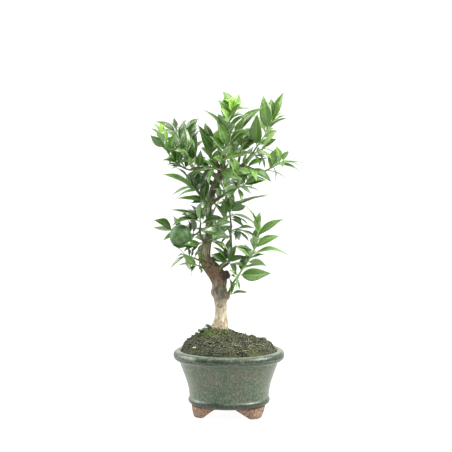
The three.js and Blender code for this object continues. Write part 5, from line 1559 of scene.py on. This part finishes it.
def make_sprouts(looks):
    """Small weeds with round leaves."""
    skin = Skin(("across", "along", "tint", "young"))
    for number, (x, y, height, spread) in enumerate(SPROUTS):
        z = ground(x, y)
        for k in range(6):
            seed = 700000 + 100 * number + 10 * k
            turn = 2 * math.pi * (k + 0.6 * draw(seed)) / 6
            out = spread * between((0.6, 1.1), seed + 1)
            rise = height * between((0.65, 1.0), seed + 2)
            tip = np.array([x + out * math.cos(turn), y + out * math.sin(turn), z + rise])
            base = np.array([x, y, z - 0.5])
            bow = base * 0.4 + tip * 0.6 + np.array([0, 0, 0.3 * rise])
            add_tube(skin, rounded([(*base, 0.3), (*bow, 0.24), (*tip, 0.2)]), 5, 2, along=1.0, tint=0.4)
            disc = between((1.5, 2.3), seed + 3)
            upright = unit(np.array([math.cos(turn) * 0.5, math.sin(turn) * 0.5 - 0.45, 0.45]))
            first = unit(np.cross(upright, (0.1, 1, 0)))
            second = np.cross(upright, first)
            rings = []
            for share, lift in ROUND_LEAF:
                angles = turns_of(12)
                edge = disc * share * (1 + 0.08 * np.cos(3 * angles))
                rings.append(tip + circle(first, second, edge, angles) + upright * (lift + 0.18 * share))
            skin.add(rings, tube_faces(len(rings), 12), 0, across=0.5, tint=between((0.0, 0.12), seed + 4))
    place_piece(skin.piece("weeds", looks), "foliage")


# The fruits


def make_fruit(name):
    centre, radius, stalk = FRUITS[name]
    centre, stalk = np.array(centre, float), np.array(stalk, float)
    pole = unit(stalk - centre)
    first = unit(np.cross(pole, (0, 0, 1)))
    second = np.cross(pole, first)
    rows, columns = FRUIT_GRID
    tilts = math.pi * np.arange(1, rows) / rows
    turns = turns_of(columns)
    flat = np.vstack([pole * math.cos(t) + circle(first, second, math.sin(t), turns) for t in tilts])
    lobes = noise_at(flat, 1.4, 4.4) * 0.012
    pits = np.maximum(noise_at(flat, 11.0, 8.8), 0) * 0.012
    from_pole = np.linalg.norm(flat - pole, axis=1)
    dimple = 0.07 * np.exp(-((from_pole / 0.22) ** 2))
    flat = flat * (1 + lobes - pits - dimple)[:, None] * radius * np.array([1, 1, FRUIT_HEIGHT]) + centre
    skin = Skin(("along", "young"))
    skin.add(flat, tube_faces(rows - 1, columns), 0)
    neck = centre + pole * radius * 0.90
    for out in circle(first, second, 1, turns_of(5)):
        lobe = ((0.4, 0.4, 0.9), (1.7, 0.15, 0.75), (3.0, -0.25, 0.25))
        line = [(*(neck + out * reach + pole * rise), width) for reach, rise, width in lobe]
        add_tube(skin, line, 8, 1, along=1.0)
    add_tube(skin, [(*(neck - pole), 1.5), (*(neck + pole * 0.9), 1.35), (*stalk, 0.95)], 12, 1, along=1.0)
    piece = skin.piece("rind_" + name, [rind_look(), stem_look()])
    place_piece(piece, "green_rind", "fruit_" + name)


# Dressing the frame

leaf_looks = [leaf_look("leaf_upper", True), leaf_look("leaf_under", False), stem_look()]
more = more_leaves()
for number, name in enumerate(SHOOTS):
    add_shoot(name, number, leaf_looks, more[name])
make_wood()
make_pot()
make_soil()
make_crumbs()
make_litter()
make_moss()
make_sprouts(leaf_looks)
for name in FRUITS:
    make_fruit(name)
plastic = flat_look("black_plastic", (0.012, 0.012, 0.012), (0.030, 0.030, 0.028), 0.45)
metal = flat_look("bright_wire", (0.62, 0.62, 0.62), (0.80, 0.80, 0.80), 0.3, Metallic=1.0)
for node, look in (("drainage_mesh", plastic), ("mesh_clip_wire", metal)):
    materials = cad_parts[node].data.materials
    materials.clear()
    materials.append(look)


# The stage, the lights and the camera


def make_backdrop():
    """A white floor that curves up into a wall behind."""
    front, depth, height, bend, width = STAGE_SIZE
    turns = np.linspace(0, math.pi / 2, 24)
    arc = [(depth - bend + bend * math.sin(t), bend - bend * math.cos(t)) for t in turns]
    outline = [(front, 0.0), *arc, (depth, height)]
    points = [(side * width, y, z - STAGE_DROP * MM) for y, z in outline for side in (-1, 1)]
    faces = [(2 * i, 2 * i + 1, 2 * i + 3, 2 * i + 2) for i in range(len(outline) - 1)]
    mesh = bpy.data.meshes.new("backdrop")
    mesh.from_pydata(points, [], faces)
    mesh.polygons.foreach_set("use_smooth", np.full(len(faces), True))
    look = Look("white_paper", 1.0)
    look.colour((0.12, 0.12, 0.12))
    look.wire((1.0, 1.0, 1.0), look.shader.inputs["Emission Color"])
    look.wire(STAGE_GLOW, look.shader.inputs["Emission Strength"])
    mesh.materials.append(look.material)
    made = linked("backdrop", mesh)


def add_light(name, place, size, power, colour=(1, 1, 1)):
    lamp = bpy.data.lights.new(name, "AREA")
    lamp.shape = "DISK"
    lamp.size = size
    lamp.energy = power
    lamp.color = colour
    made = linked(name, lamp)
    made.location = place
    aim = Vector((AXIS.x, AXIS.y, LIT_HEIGHT))
    made.rotation_euler = (aim - Vector(place)).to_track_quat("-Z", "Y").to_euler()


make_backdrop()
add_light("key", (1.30, -0.20, 1.25), 0.9, 52, (1.0, 0.985, 0.95))
add_light("left", (-1.40, 0.25, 0.80), 1.2, 24)
add_light("front", (0.40, -2.20, 1.50), 2.4, 30, (1.0, 0.995, 0.98))
add_light("top", (-0.10, -0.25, 1.60), 1.1, 19)

world = bpy.data.worlds.new("white_room")
bpy.context.scene.world = world
world.use_nodes = True
sky = world.node_tree
sky.nodes["Background"].inputs["Color"].default_value = (1, 1, 0.95, 1)
split = sky.nodes.new("ShaderNodeSeparateXYZ")
sky.links.new(sky.nodes.new("ShaderNodeTexCoord").outputs["Generated"], split.inputs[0])
brighter = []
for axis, low, high in (("Y", -0.7, 0.1), ("Z", 0.45, 0.85)):
    across = sky.nodes.new("ShaderNodeMapRange")
    across.interpolation_type = "SMOOTHSTEP"
    sky.links.new(split.outputs[axis], across.inputs["Value"])
    for socket, value in zip(("From Min", "From Max", "To Min", "To Max"), (low, high, *WORLD_LIGHT)):
        across.inputs[socket].default_value = value
    brighter.append(across.outputs["Result"])
most = sky.nodes.new("ShaderNodeMath")
most.operation = "MAXIMUM"
sky.links.new(brighter[0], most.inputs[0])
sky.links.new(brighter[1], most.inputs[1])
sky.links.new(most.outputs[0], sky.nodes["Background"].inputs["Strength"])

lens = bpy.data.cameras.new("camera")
lens.lens = CAMERA_LENS
lens.sensor_width = 36
camera = linked("camera", lens)
camera.location = Vector((AXIS.x, AXIS.y, 0)) + Vector(CAMERA_PLACE) * MM
camera.rotation_euler = (math.radians(CAMERA_TILT), 0, 0)
bpy.context.scene.camera = camera
bpy.context.scene.view_settings.view_transform = "Standard"
